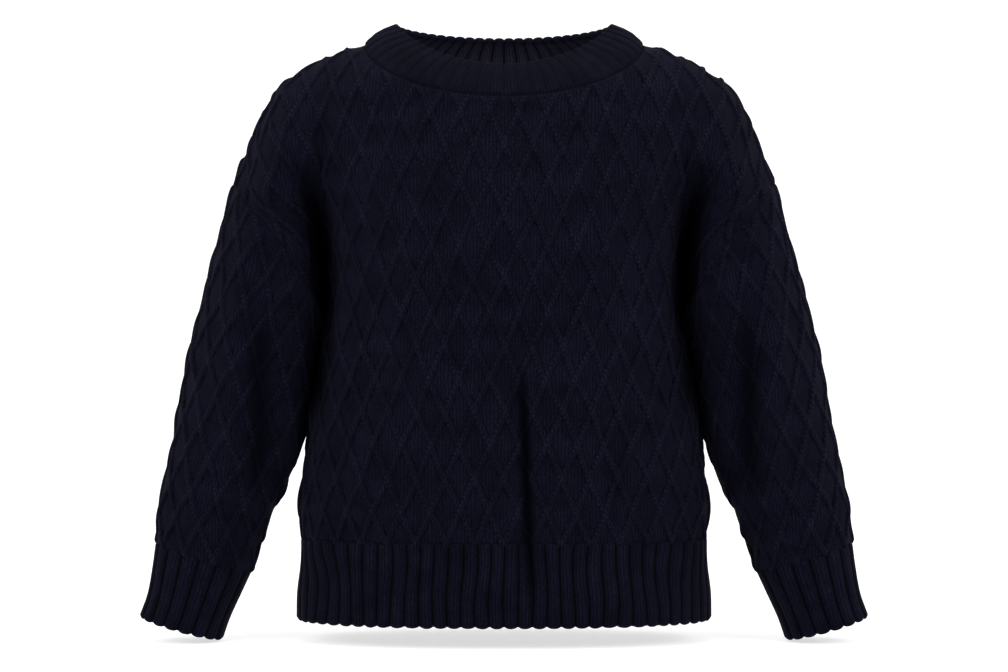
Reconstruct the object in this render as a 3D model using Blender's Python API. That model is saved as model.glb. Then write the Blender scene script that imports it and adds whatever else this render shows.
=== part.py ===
"""Cable knit crew neck sweater, filled out as if worn, hollow and open at the neck, hem and cuffs.

X runs across the chest, the front faces -Y and +Z is up. The origin lies between the two high
shoulder points, where the neckband meets the shoulder lines. Every wall is a loft through
sections, and the lattice of raised cables lies on the flat pattern of each piece.
"""

import bpy
import bmesh
import math
import numpy as np
from mathutils import Vector
from mathutils.geometry import delaunay_2d_cdt

# Driving sizes, in metres.
WALL = 0.0026              # knit thickness between the cables
CABLE_RISE = 0.0024        # how far a cable stands above the knit
CABLE_HALF_WIDTH = 0.0046  # from a cable's middle line to the plain knit beside it
DIAMOND_WIDTH = 0.0292     # lattice repeat across the cloth
DIAMOND_HEIGHT = 0.0660    # lattice repeat along the cloth
SEAM_GAP = 0.0003          # clearance between two pieces at a seam
SEAM_MARGIN = 0.0055       # cables sink into the seam over this distance
EDGE_STEP = 0.0150         # spacing of the points along a piece's edge
ARMHOLE_STEP = 0.0090      # the same along the armhole, where the sleeve follows it
INNER_STEP_ACROSS = 0.034  # spacing of the plain inside wall's points
INNER_STEP_ALONG = 0.062

RIB_RISE = 0.0022          # rib height above its groove
RIB_FLAT = 0.62            # share of a rib's pitch that is its flat top
HEM_RIBS = 36              # ribs on the front, and as many on the back
CUFF_RIBS = 16
NECK_RIBS = 56

HEM_BOTTOM = -0.5915       # height of the hem's lower edge
HEM_TOP = -0.5090          # height where the ribbed hem joins the body
UNDERARM = -0.3050         # height of the underarm point
SLEEVE_POINT = -0.1420     # height of the armhole's highest point, on the upper arm

NECK_HALF_WIDTH = 0.1440   # half width of the neckline where the band is sewn
NECK_DROP_FRONT = 0.0640
NECK_DROP_BACK = 0.0170
RIM_HALF_WIDTH = 0.1085    # half width of the band's upper edge
RIM_HALF_DEPTH = 0.0640
RIM_TOP = 0.0180           # height of the band's edge at the sides
RIM_DIP_FRONT = 0.0460
RIM_DIP_BACK = 0.0060
BAND_WALL = 0.0034
BAND_BOW = 0.0030          # how far the band swells between its two edges
NECK_CLEARANCE = 0.0013    # from the neckline's edge to the band's first row
SLEEVE_CLEARANCE = 0.0010  # down from the armhole's edge to the sleeve's first row
UNDERARM_CLEARANCE = 0.0048  # out from the body's side to the sleeve, under the arm

SHOULDER_RADIUS = 0.0740   # the shoulder's curve from front to back, at the neck
ARM_RADIUS = 0.0600        # the same at the upper arm
YOKE_DEPTH = 0.0700        # least depth of the shoulders above the arm crease
CREASE_HALF_WIDTH = 0.0085  # of the crease between arm and chest
ARM_ROUND = 0.0340         # past the crease, until the arm is at its full depth
CHEST_ROUND = 0.0500       # before the crease, where the chest starts to turn in
CREASE_FADE = (-0.0950, -0.1600)  # heights between which the crease deepens, downward
YOKE_FADE = (-0.1500, -0.0850)    # heights between which arm and chest become one yoke
ARM_START = 0.0120         # above the underarm, until the arm stands out from the side

# Fineness of the surfaces that the walls are read from.
BODY_COLUMNS = 241
BODY_LOW_ROWS = 50         # up to the underarm
BODY_HIGH_ROWS = 90        # from there to the shoulder
NECK_PLACES = 81
BAND_COLUMNS = 361
SLEEVE_COLUMNS = 145
SLEEVE_ROWS = (8, 10, 10, 10, 22)  # between each section and the next, from the cuff up
BAND_ROWS = (0.0, 0.34, 0.67, 1.0)  # rows of the neckband, from the neckline to its edge
BAND_SWELL = (0.0, 0.75, 0.8, 0.0)  # share of the band's bow at each
HEM_ROWS = (HEM_BOTTOM, -0.5740, -0.5470, -0.5240, HEM_TOP)
SHORTEST_CUT = 0.30        # least share of a cable or diamond side that is kept at a seam

# Body sections below the underarm: height, half width, front depth, back depth, squareness.
BODY_SECTIONS = (
    (-0.5920, 0.2105, 0.0960, 0.0960, 2.35),
    (-0.5650, 0.2100, 0.0965, 0.0960, 2.35),
    (-0.5350, 0.2065, 0.0970, 0.0955, 2.35),
    (-0.5090, 0.2060, 0.0990, 0.0960, 2.35),
    (-0.4800, 0.2090, 0.1030, 0.0970, 2.35),
    (-0.4500, 0.2070, 0.1060, 0.0980, 2.35),
    (-0.4100, 0.2010, 0.1090, 0.1000, 2.35),
    (-0.3600, 0.1950, 0.1130, 0.1030, 2.30),
    (-0.3050, 0.1890, 0.1170, 0.1080, 2.30),
    (-0.2500, 0.1860, 0.1190, 0.1120, 2.30),
    (-0.2000, 0.1900, 0.1180, 0.1130, 2.30),
    (-0.1500, 0.2050, 0.1130, 0.1110, 2.30),
    (-0.1000, 0.2300, 0.1040, 0.1060, 2.20),
    (-0.0500, 0.2500, 0.0930, 0.0980, 2.20),
    (0.0000, 0.2600, 0.0860, 0.0900, 2.20),
    (0.0600, 0.2600, 0.0820, 0.0860, 2.20),
)

# The shoulder and outer arm seen from the front: distance from the middle, height.
SHOULDER_LINE = (
    (0.0000, 0.0440),
    (0.0700, 0.0260),
    (0.1350, 0.0000),
    (0.1800, -0.0155),
    (0.2100, -0.0310),
    (0.2310, -0.0475),
    (0.2430, -0.0650),
    (0.2530, -0.0850),
    (0.2630, -0.1100),
    (0.2760, -0.1420),
    (0.2890, -0.1800),
    (0.3060, -0.2500),
    (0.3200, -0.3110),
)

# The armhole seam on the front of the arm: height, distance from the middle.
ARMHOLE = (
    (-0.3050, 0.1880),
    (-0.2900, 0.1850),
    (-0.2650, 0.1900),
    (-0.2360, 0.2080),
    (-0.2080, 0.2240),
    (-0.1900, 0.2400),
    (-0.1700, 0.2570),
    (-0.1550, 0.2680),
    (-0.1420, 0.2760),
)

# The crease between arm and chest: height, distance from the middle, depth of the crease's
# floor from the middle plane, arm's depth at its fullest.
ARM_CREASE = (
    (-0.3050, 0.1860, 0.0060, 0.0600),
    (-0.2900, 0.1840, 0.0160, 0.0610),
    (-0.2600, 0.1800, 0.0300, 0.0630),
    (-0.2200, 0.1810, 0.0420, 0.0660),
    (-0.1800, 0.1860, 0.0560, 0.0700),
    (-0.1400, 0.1960, 0.0740, 0.0740),
    (-0.1000, 0.2060, 0.0860, 0.0760),
)

# Sleeve sections down the arm: middle across, middle fore-aft, height of the middle,
# half width, half depth, tilt of the section from level in degrees.
SLEEVE_SECTIONS = (
    (0.2605, -0.0010, -0.3250, 0.0625, 0.0600, 13.0),
    (0.2685, -0.0020, -0.3800, 0.0645, 0.0580, 13.0),
    (0.2810, -0.0040, -0.4350, 0.0615, 0.0540, 14.5),
    (0.2975, -0.0070, -0.4850, 0.0565, 0.0500, 16.5),
    (0.3075, -0.0100, -0.5270, 0.0505, 0.0440, 17.0),
)
CUFF_SECTIONS = (
    (0.3077, -0.0101, -0.5276, 0.0487, 0.0425, 17.0),
    (0.3147, -0.0120, -0.5520, 0.0448, 0.0385, 17.0),
    (0.3224, -0.0140, -0.5770, 0.0415, 0.0345, 16.5),
    (0.3305, -0.0155, -0.6000, 0.0415, 0.0325, 16.0),
)

# Main creases: piece, middle across, middle height, length, width, slant across per length, depth.
CREASES = (
    ("front", 0.0200, -0.4350, 0.240, 0.0110, -0.04, 0.0065),
    ("front", 0.0080, -0.3600, 0.080, 0.0090, 0.30, 0.0030),
    ("front", 0.0360, -0.3700, 0.070, 0.0090, -0.30, 0.0030),
    ("front", -0.0900, -0.4550, 0.120, 0.0160, -0.10, 0.0028),
    ("front", 0.1150, -0.4300, 0.150, 0.0170, 0.12, 0.0030),
    ("front", -0.1300, -0.3350, 0.110, 0.0150, 0.75, 0.0034),
    ("front", 0.1320, -0.3300, 0.120, 0.0150, -0.70, 0.0034),
    ("back", -0.0300, -0.4400, 0.200, 0.0140, 0.06, 0.0050),
    ("back", 0.0600, -0.4000, 0.160, 0.0160, -0.10, 0.0038),
    ("back", -0.1250, -0.3450, 0.130, 0.0160, 0.65, 0.0040),
    ("back", 0.1200, -0.3500, 0.120, 0.0150, -0.65, 0.0036),
)
# Sleeve folds: turn round the arm in degrees (0 outside, 90 front, 180 inside), distance down
# from the top of the sleeve, length, width in degrees, twist in degrees per metre, depth.
SLEEVE_FOLDS = (
    (78.0, 0.060, 0.150, 17.0, 190.0, -0.0050),
    (112.0, 0.070, 0.140, 15.0, 160.0, 0.0045),
    (150.0, 0.150, 0.070, 22.0, -900.0, 0.0042),
    (165.0, 0.210, 0.060, 26.0, -1100.0, 0.0040),
    (172.0, 0.280, 0.060, 28.0, 1000.0, 0.0036),
    (60.0, 0.300, 0.080, 20.0, 500.0, 0.0024),
    (250.0, 0.070, 0.150, 18.0, -160.0, 0.0046),
    (215.0, 0.170, 0.080, 22.0, 850.0, 0.0040),
    (290.0, 0.280, 0.090, 20.0, -450.0, 0.0026),
)

NAVY = (0.0075, 0.0078, 0.0165, 1.0)


def curve_at(rows, column, where):
    """Read a column of a table at a place between its rows, on a smooth curve."""
    table = np.array(rows, dtype=float)
    table = table[np.argsort(table[:, 0])]
    keys = table[:, 0]
    values = table[:, column]
    slopes = np.gradient(values, keys)
    where = np.clip(np.asarray(where, dtype=float), keys[0], keys[-1])
    low = np.clip(np.searchsorted(keys, where) - 1, 0, len(keys) - 2)
    span = keys[low + 1] - keys[low]
    t = (where - keys[low]) / span
    return (values[low] * (2 * t**3 - 3 * t**2 + 1) + slopes[low] * span * (t**3 - 2 * t**2 + t)
            + values[low + 1] * (3 * t**2 - 2 * t**3) + slopes[low + 1] * span * (t**3 - t**2))


def ease(low, high, value):
    t = np.clip((np.asarray(value, dtype=float) - low) / (high - low), 0.0, 1.0)
    return t * t * (3 - 2 * t)


def crease_depth(piece, across, height):
    """How far the main creases press the wall in at a place on the front or back."""
    total = np.zeros(np.broadcast(across, height).shape)
    for name, middle, level, length, width, slant, depth in CREASES:
        if name != piece:
            continue
        along = (height - level) / (length / 2)
        side = (across - middle - slant * (height - level)) / width
        total = total + depth * np.exp(-side**2) * np.exp(-(along**4))
    return total


def shoulder_turn(across, height):
    """How far a place has come round the shoulder's curve, the curve's radius and its slope."""
    reach = np.abs(across)
    ridge = curve_at(SHOULDER_LINE, 1, reach)
    slope = (curve_at(SHOULDER_LINE, 1, reach + 0.002) - ridge) / 0.002
    away = np.maximum(ridge - height, 0) / np.sqrt(1 + slope**2)
    on_arm = ease(SHOULDER_LINE[3][0] + 0.020, SHOULDER_LINE[8][0] + 0.007, reach)
    radius = SHOULDER_RADIUS + (ARM_RADIUS - SHOULDER_RADIUS) * on_arm
    return np.clip(away / radius, 0, 1), radius, slope


def body_depth(piece, across, height):
    """Distance of the front or back from the middle plane, as a height field."""
    column = 2 if piece == "front" else 3
    reach = np.abs(across)
    half = curve_at(BODY_SECTIONS, 1, height)
    depth = curve_at(BODY_SECTIONS, column, height)
    power = curve_at(BODY_SECTIONS, 4, height)
    torso = depth * np.maximum(1 - np.clip(reach / half, 0, 1)**power, 0)**(1 / power)
    crease = curve_at(ARM_CREASE, 1, height)
    floor = curve_at(ARM_CREASE, 2, height)
    arm_full = curve_at(ARM_CREASE, 3, height)
    chest = np.maximum(torso, floor * ease(-CHEST_ROUND, 0.0, reach - crease))
    arm = floor + (arm_full - floor) * ease(0.0, ARM_ROUND, reach - crease)
    profile = np.where(reach < crease, chest, arm)
    valley = np.exp(-(((reach - crease) / CREASE_HALF_WIDTH)**2))
    profile = profile + (floor - profile) * valley * ease(*CREASE_FADE, height)
    yoke = np.maximum(torso, YOKE_DEPTH)
    profile = profile + (yoke - profile) * ease(*YOKE_FADE, height)
    t = shoulder_turn(across, height)[0]
    worn = profile * np.sqrt(np.maximum(1 - (1 - t)**2, 0))
    upper = ease(UNDERARM, UNDERARM + ARM_START, height)
    return torso + (worn - torso) * upper - crease_depth(piece, across, height)


def body_reach(height):
    """Half width of the front and back panels at a height."""
    side = curve_at(BODY_SECTIONS, 1, height)
    armhole = curve_at(ARMHOLE, 1, height)
    reach = np.linspace(0, SHOULDER_LINE[-1][0], 400)
    shoulder = np.interp(height, curve_at(SHOULDER_LINE, 1, reach)[::-1], reach[::-1])
    return np.where(height < UNDERARM, side, np.where(height < SLEEVE_POINT, armhole, shoulder))


def neckline_height(piece, across):
    """Height of the neckline, measured from the high shoulder points."""
    drop = NECK_DROP_FRONT if piece == "front" else NECK_DROP_BACK
    share = min(abs(across) / NECK_HALF_WIDTH, 1)
    return -drop * math.sqrt(1 - share**2)


class Cloth:
    """A lofted surface with its flat pattern: rows of points that run across, from bottom to top."""

    def __init__(self, points, along=None):
        self.points = points
        rows, columns = points.shape[:2]
        if along is None:
            step = np.linalg.norm(np.diff(points, axis=0), axis=2)
            along = np.concatenate([np.zeros((1, columns)), np.cumsum(step, axis=0)], axis=0)
        self.along = along
        step = np.linalg.norm(np.diff(points, axis=1), axis=2)
        step = np.sqrt(np.maximum(step**2 - np.diff(along, axis=1)**2, 0.04 * step**2))
        across = np.concatenate([np.zeros((rows, 1)), np.cumsum(step, axis=1)], axis=1)
        self.across = across - across[:, columns // 2][:, None]
        normal = np.cross(np.gradient(points, axis=1), np.gradient(points, axis=0))
        self.normal = normal / np.maximum(np.linalg.norm(normal, axis=2, keepdims=True), 1e-12)

    def close_round(self):
        """The first and last columns are one line on a tube, so they share their normal."""
        mean = self.normal[:, 0] + self.normal[:, -1]
        mean = mean / np.linalg.norm(mean, axis=1, keepdims=True)
        self.normal[:, 0] = mean
        self.normal[:, -1] = mean

    def read(self, field, row, column):
        rows, columns = self.points.shape[:2]
        row = min(max(row, 0.0), rows - 1.000001)
        column = min(max(column, 0.0), columns - 1.000001)
        i = int(row)
        j = int(column)
        s = row - i
        t = column - j
        return ((1 - s) * (1 - t) * field[i, j] + (1 - s) * t * field[i, j + 1]
                + s * (1 - t) * field[i + 1, j] + s * t * field[i + 1, j + 1])

    def flat(self, row, column):
        """A place on the grid, with where it lies on the flat pattern."""
        return (row, column, self.read(self.across, row, column),
                self.read(self.along, row, column))

    def find(self, u, v):
        """Place on the grid of a place on the flat pattern."""
        rows = self.points.shape[0]
        low = 0.0
        high = rows - 1.000001
        for _ in range(24):
            row = (low + high) / 2
            i = min(int(row), rows - 2)
            line = (1 - row + i) * self.across[i] + (row - i) * self.across[i + 1]
            column = float(np.interp(u, line, np.arange(line.size)))
            if self.read(self.along, row, column) < v:
                low = row
            else:
                high = row
        return row, column

    def place(self, row, column, out):
        """Point in space, moved out of the surface by a distance."""
        normal = self.read(self.normal, row, column)
        normal = normal / max(np.linalg.norm(normal), 1e-9)
        return self.read(self.points, row, column) + normal * out


def evenly(line, step):
    """Places at even steps along a line of grid places, from its first up to its last."""
    line = np.array(line)
    length = np.linalg.norm(np.diff(line[:, 2:], axis=0), axis=1)
    gone = np.concatenate([[0], np.cumsum(length)])
    count = max(1, round(gone[-1] / step))
    return [[float(np.interp(share * gone[-1], gone, line[:, k])) for k in range(4)]
            for share in np.arange(count) / count]


def distance_to(outline, point):
    a = outline
    edge = np.roll(outline, -1, axis=0) - a
    t = np.clip(((point - a) * edge).sum(1) / np.maximum((edge**2).sum(1), 1e-12), 0, 1)
    return np.linalg.norm(a + edge * t[:, None] - point, axis=1).min()


def inside(outline, point):
    x, y = point
    a = outline
    b = np.roll(outline, -1, axis=0)
    crosses = (a[:, 1] > y) != (b[:, 1] > y)
    with np.errstate(divide="ignore", invalid="ignore"):
        at = a[:, 0] + (y - a[:, 1]) / (b[:, 1] - a[:, 1]) * (b[:, 0] - a[:, 0])
    return bool((crosses & (x < at)).sum() % 2)


def lattice(low, high):
    """Crossings, cables and the plain diamond inside each mesh, on the flat pattern."""
    half_u = DIAMOND_WIDTH / 2
    half_v = DIAMOND_HEIGHT / 2
    slope = math.hypot(half_u, half_v)
    inset_u = CABLE_HALF_WIDTH * slope / half_v
    inset_v = CABLE_HALF_WIDTH * slope / half_u
    crossings = {}
    cables = []
    diamonds = []
    for i in range(math.floor(low[0] / half_u) - 1, math.ceil(high[0] / half_u) + 2):
        for j in range(math.floor(low[1] / half_v) - 1, math.ceil(high[1] / half_v) + 2):
            u = i * half_u
            v = j * half_v
            if (i + j) % 2 == 0:
                crossings[(i, j)] = (u, v)
                cables.append(((i, j), (i + 1, j + 1)))
                cables.append(((i, j), (i - 1, j + 1)))
            else:
                diamonds.append(((u - half_u + inset_u, v), (u, v - half_v + inset_v),
                                 (u + half_u - inset_u, v), (u, v + half_v - inset_v)))
    return crossings, cables, diamonds


def fill(border, extra_points, extra_edges):
    """Triangles of a flat outline, with points and edges inside it."""
    count = len(border)
    points = [Vector(p) for p in border] + [Vector(p) for p in extra_points]
    edges = [(k, (k + 1) % count) for k in range(count)]
    edges += [(a + count, b + count) for a, b in extra_edges]
    result = delaunay_2d_cdt(points, edges, [list(range(count))], 1, 1e-7, True)
    vertices, faces, origins = result[0], result[2], result[3]
    kept = []
    for face in faces:
        middle = sum((vertices[k] for k in face), Vector((0.0, 0.0))) / len(face)
        if inside(border, (middle.x, middle.y)):
            kept.append(face)
    return vertices, kept, origins


def knit_wall(cloth, outline, on_tube_seam):
    """A knitted wall: cables raised on the outside, a plain inside and a rim between them."""
    border = np.array(outline)[:, 2:]
    count = len(outline)
    low = border.min(0)
    high = border.max(0)

    def keep(point, margin):
        return inside(border, point) and distance_to(border, np.array(point)) > margin

    crossings, cables, diamonds = lattice(low, high)
    points = []
    rises = []
    edges = []
    index = {}
    for key, point in crossings.items():
        if keep(point, SEAM_MARGIN):
            index[key] = len(points)
            points.append(point)
            rises.append(CABLE_RISE)

    def cut_at_seam(number, end, rise):
        """A line that meets a seam stops there: add its last point and the edge up to it."""
        start = points[number]
        near = 0.0
        far = 1.0
        for _ in range(10):
            share = (near + far) / 2
            if keep([a + (b - a) * share for a, b in zip(start, end)], SEAM_MARGIN):
                near = share
            else:
                far = share
        if near > SHORTEST_CUT:
            edges.append((number, len(points)))
            points.append(tuple(a + (b - a) * near for a, b in zip(start, end)))
            rises.append(rise)

    for a, b in cables:
        if a in index and b in index:
            edges.append((index[a], index[b]))
        elif a in index:
            cut_at_seam(index[a], crossings[b], CABLE_RISE)
        elif b in index:
            cut_at_seam(index[b], crossings[a], CABLE_RISE)
    for diamond in diamonds:
        corners = [None] * 4
        for k, point in enumerate(diamond):
            if keep(point, SEAM_MARGIN):
                corners[k] = len(points)
                points.append(point)
                rises.append(0.0)
        for k in range(4):
            n = (k + 1) % 4
            if corners[k] is not None and corners[n] is not None:
                edges.append((corners[k], corners[n]))
            elif corners[k] is not None:
                cut_at_seam(corners[k], diamond[n], 0.0)
            elif corners[n] is not None:
                cut_at_seam(corners[n], diamond[k], 0.0)
    plain = []
    for i in range(math.floor(low[0] / INNER_STEP_ACROSS), math.ceil(high[0] / INNER_STEP_ACROSS)):
        for j in range(math.floor(low[1] / INNER_STEP_ALONG), math.ceil(high[1] / INNER_STEP_ALONG)):
            point = ((i + 0.5 * (j % 2)) * INNER_STEP_ACROSS, (j + 0.5) * INNER_STEP_ALONG)
            if keep(point, 0.4 * INNER_STEP_ACROSS):
                plain.append(point)

    def skin(extra_points, extra_edges, out_of):
        vertices, faces, origins = fill(border, extra_points, extra_edges)
        placed = []
        rim = {}
        for number, (vertex, origin) in enumerate(zip(vertices, origins)):
            on_rim = [k for k in origin if k < count]
            if on_rim:
                row, column = outline[on_rim[0]][:2]
                rim[on_rim[0]] = number
            else:
                row, column = cloth.find(vertex[0], vertex[1])
            own = [k - count for k in origin if k >= count]
            placed.append(cloth.place(row, column, out_of(None if on_rim else own)))
        return placed, faces, rim

    outer, outer_faces, outer_rim = skin(
        points, edges, lambda own: rises[own[0]] if own else 0.0)
    inner, inner_faces, inner_rim = skin(plain, [], lambda own: -WALL)
    mesh = bmesh.new()
    top = [mesh.verts.new(p) for p in outer]
    under = [mesh.verts.new(p) for p in inner]
    for face in outer_faces:
        mesh.faces.new([top[k] for k in face])
    for face in inner_faces:
        mesh.faces.new([under[k] for k in reversed(face)])
    for k in range(count):
        n = (k + 1) % count
        if not on_tube_seam(k, n):
            mesh.faces.new((top[outer_rim[n]], top[outer_rim[k]],
                            under[inner_rim[k]], under[inner_rim[n]]))
    bmesh.ops.remove_doubles(mesh, verts=mesh.verts, dist=2e-5)
    return mesh


def ribbed_band(cloth, ribs, closed, wall):
    """A ribbed band: a flat top and a narrow groove for each rib outside, a plain inside."""
    rows, columns = cloth.points.shape[:2]
    profile = []
    for k in range(ribs):
        profile += [(k / ribs, 0.0), ((k + 0.5 - RIB_FLAT / 2) / ribs, RIB_RISE),
                    ((k + 0.5 + RIB_FLAT / 2) / ribs, RIB_RISE)]
    if not closed:
        profile.append((1.0, 0.0))
    mesh = bmesh.new()
    outer = []
    inner = []
    for row in range(rows):
        line = cloth.across[row] - cloth.across[row][0]
        places = [float(np.interp(share * line[-1], line, np.arange(columns)))
                  for share, _ in profile]
        outer.append([mesh.verts.new(cloth.place(row, place, rise))
                      for place, (_, rise) in zip(places, profile)])
        inner.append([mesh.verts.new(cloth.place(row, place, -wall)) for place in places[::3]])
    wide = len(outer[0])
    narrow = len(inner[0])
    spans = narrow if closed else narrow - 1
    for row in range(rows - 1):
        for k in range(wide if closed else wide - 1):
            n = (k + 1) % wide
            mesh.faces.new((outer[row][k], outer[row][n], outer[row + 1][n], outer[row + 1][k]))
        for k in range(spans):
            n = (k + 1) % narrow
            mesh.faces.new((inner[row][n], inner[row][k], inner[row + 1][k], inner[row + 1][n]))
        if not closed:
            mesh.faces.new((outer[row + 1][0], inner[row + 1][0], inner[row][0], outer[row][0]))
            mesh.faces.new((outer[row][-1], inner[row][-1], inner[row + 1][-1],
                            outer[row + 1][-1]))
    for row, turn in ((0, 1), (rows - 1, -1)):
        for k in range(spans):
            n = (k + 1) % narrow
            loop = [outer[row][3 * k], inner[row][k], inner[row][n],
                    outer[row][(3 * k + 3) % wide], outer[row][3 * k + 2], outer[row][3 * k + 1]]
            mesh.faces.new(loop[::turn])
    return mesh


def finish(mesh, name, collection):
    """Turn a mesh into a named object with its faces pointing out and its own yarn."""
    bmesh.ops.triangulate(mesh, faces=mesh.faces)
    bmesh.ops.recalc_face_normals(mesh, faces=mesh.faces)
    if mesh.calc_volume(signed=True) < 0:
        bmesh.ops.reverse_faces(mesh, faces=mesh.faces)
    data = bpy.data.meshes.new(name)
    mesh.to_mesh(data)
    mesh.free()
    data.shade_smooth()
    data.set_sharp_from_angle(angle=math.radians(50))
    yarn = bpy.data.materials.new(name + "_yarn")
    yarn.use_nodes = True
    shader = yarn.node_tree.nodes["Principled BSDF"]
    shader.inputs["Base Color"].default_value = NAVY
    shader.inputs["Roughness"].default_value = 0.9
    shader.inputs["Metallic"].default_value = 0.0
    data.materials.append(yarn)
    thing = bpy.data.objects.new(name, data)
    collection.objects.link(thing)
    return thing


def body_surface(piece, heights, columns):
    """Rows across the front or back, from one side to the other, wound so that it faces out."""
    turns = np.linspace(-1, 1, columns)
    z = heights[:, None] + 0 * turns[None, :]
    x = body_reach(z) * np.sin(turns * math.pi / 2)[None, :]
    depth = np.maximum(body_depth(piece, x, z), 0.0) + SEAM_GAP / 2
    if piece == "front":
        return np.stack([x, -depth, z], axis=2)
    return np.stack([-x, depth, z], axis=2)


def body_lengths(points):
    """Length of cloth from the hem join up to each point, along the knit's columns."""
    across = points[:, :, 0]
    height = points[:, :, 2]
    t, radius, slope = shoulder_turn(across, height)
    wrap = radius * (math.pi / 2 - 1) - radius * (np.arccos(1 - t) - t)
    return height - height[0, 0] + wrap / (1 + slope**2)


def body_panel(piece, collection):
    """Front or back: from the hem join up to the neckline and the shoulder line."""
    last = BODY_COLUMNS - 1
    heights = np.concatenate([
        np.linspace(HEM_TOP + SEAM_GAP, UNDERARM - 0.001, BODY_LOW_ROWS),
        np.linspace(UNDERARM + 0.002, 0.0, BODY_HIGH_ROWS)])
    points = body_surface(piece, heights, BODY_COLUMNS)
    cloth = Cloth(points, body_lengths(points))
    on_seam = np.abs(points[:, (0, -1), 1]) < 2 * SEAM_GAP
    for side, column in enumerate((0, -1)):
        flat_ends = cloth.normal[:, column]
        flat_ends[on_seam[:, side], 1] = 0
    neck = []
    for share in np.linspace(1, -1, NECK_PLACES):
        across = NECK_HALF_WIDTH * math.sin(share * math.pi / 2)
        height = neckline_height(piece, across)
        reach = float(body_reach(height))
        if abs(across) < reach - SEAM_MARGIN:
            turn = math.asin(across / reach) / (math.pi / 2)
            row = float(np.interp(height, heights, np.arange(heights.size)))
            neck.append(cloth.flat(row, (turn + 1) / 2 * last))
    sleeve_point = int(np.argmin(np.abs(heights - SLEEVE_POINT)))
    from_neck = np.abs(body_reach(heights[sleeve_point:]) - NECK_HALF_WIDTH)
    shoulder_end = sleeve_point + int(np.argmin(from_neck))
    stops = (0, BODY_LOW_ROWS - 1, sleeve_point, shoulder_end)
    right = [[cloth.flat(k, last) for k in range(a, b + 1)] for a, b in zip(stops, stops[1:])]
    left = [[cloth.flat(k, 0) for k in range(b, a - 1, -1)] for a, b in zip(stops, stops[1:])]
    bottom = [cloth.flat(0, column) for column in range(0, BODY_COLUMNS, 2)]
    neck = [right[-1][-1]] + neck + [left[-1][0]]
    steps = (EDGE_STEP, ARMHOLE_STEP, EDGE_STEP)
    outline = evenly(bottom, EDGE_STEP)
    for line, step in zip(right, steps):
        outline += evenly(line, step)
    outline += evenly(neck, ARMHOLE_STEP)
    for line, step in zip(left[::-1], steps[::-1]):
        outline += evenly(line, step)
    mesh = knit_wall(cloth, outline, lambda k, n: False)
    return finish(mesh, piece + "_panel", collection)


def hem_rib(piece, collection):
    """The ribbed hem of the front or back."""
    cloth = Cloth(body_surface(piece, np.array(HEM_ROWS), BAND_COLUMNS))
    cloth.normal[:, (0, -1), 1] = 0
    mesh = ribbed_band(cloth, HEM_RIBS, False, WALL)
    return finish(mesh, piece + "_hem_rib", collection)


def section_ring(section, turns):
    """A tilted oval ring round the left arm: 0 outside, a quarter turn at the front."""
    x, y, z, half_width, half_depth, tilt = section
    angle = math.radians(tilt)
    across = half_width * np.cos(turns)
    return np.stack([x + across * math.cos(angle), y - half_depth * np.sin(turns),
                     z + across * math.sin(angle)], axis=1)


def armhole_ring(turns):
    """The armhole seam as a ring: down the front to the underarm and up the back."""
    level = np.linspace(SLEEVE_POINT, UNDERARM, 160)
    across = curve_at(ARMHOLE, 1, level)
    ring = []
    for piece, sign in (("front", -1), ("back", 1)):
        depth = np.maximum(body_depth(piece, across, level), 0)
        line = np.stack([across, sign * depth, level], axis=1)
        line[0, 1] = 0
        line[-1, 1] = 0
        gone = np.concatenate([[0], np.cumsum(np.linalg.norm(np.diff(line, axis=0), axis=1))])
        gone /= gone[-1]
        ring.append((gone, line))
    result = []
    for turn in turns:
        share = abs(turn) / math.pi
        gone, line = ring[0] if turn >= 0 else ring[1]
        result.append([np.interp(share, gone, line[:, k]) for k in range(3)])
    return np.array(result)


def sleeve_surface(rings, steps):
    """Rows through the rings, smooth down each line of the sleeve, from the bottom up."""
    rings = np.array(rings)
    rows = []
    step = np.linalg.norm(np.diff(rings, axis=0), axis=2)
    keys = np.concatenate([np.zeros((1, rings.shape[1])), np.cumsum(step, axis=0)], axis=0)
    slopes = np.zeros_like(rings)
    for k in range(len(rings)):
        before = max(k - 1, 0)
        after = min(k + 1, len(rings) - 1)
        slopes[k] = (rings[after] - rings[before]) / (keys[after] - keys[before])[:, None]
    for k, count in enumerate(steps):
        span = (keys[k + 1] - keys[k])[:, None]
        for t in np.arange(count) / count:
            rows.append(rings[k] * (2 * t**3 - 3 * t**2 + 1) + rings[k + 1] * (3 * t**2 - 2 * t**3)
                        + slopes[k] * span * (t**3 - 2 * t**2 + t)
                        + slopes[k + 1] * span * (t**3 - t**2))
    rows.append(rings[-1])
    return np.array(rows)


def fold_sleeve(points, turns):
    """Press the sleeve's folds into its surface."""
    cloth = Cloth(points)
    cloth.close_round()
    degrees = np.degrees(turns) % 360
    down = cloth.along[-1][None, :] - cloth.along
    total = np.zeros(points.shape[:2])
    for middle, start, length, width, twist, depth in SLEEVE_FOLDS:
        along = (down - start - length / 2) / (length / 2)
        side = (degrees[None, :] - middle - twist * (down - start - length / 2) + 180) % 360 - 180
        total += depth * np.exp(-(side / width)**2) * np.exp(-along**4)
    total *= ease(0.0, 0.03, down) * ease(0.0, 0.03, cloth.along)
    return points - cloth.normal * total[:, :, None]


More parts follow.
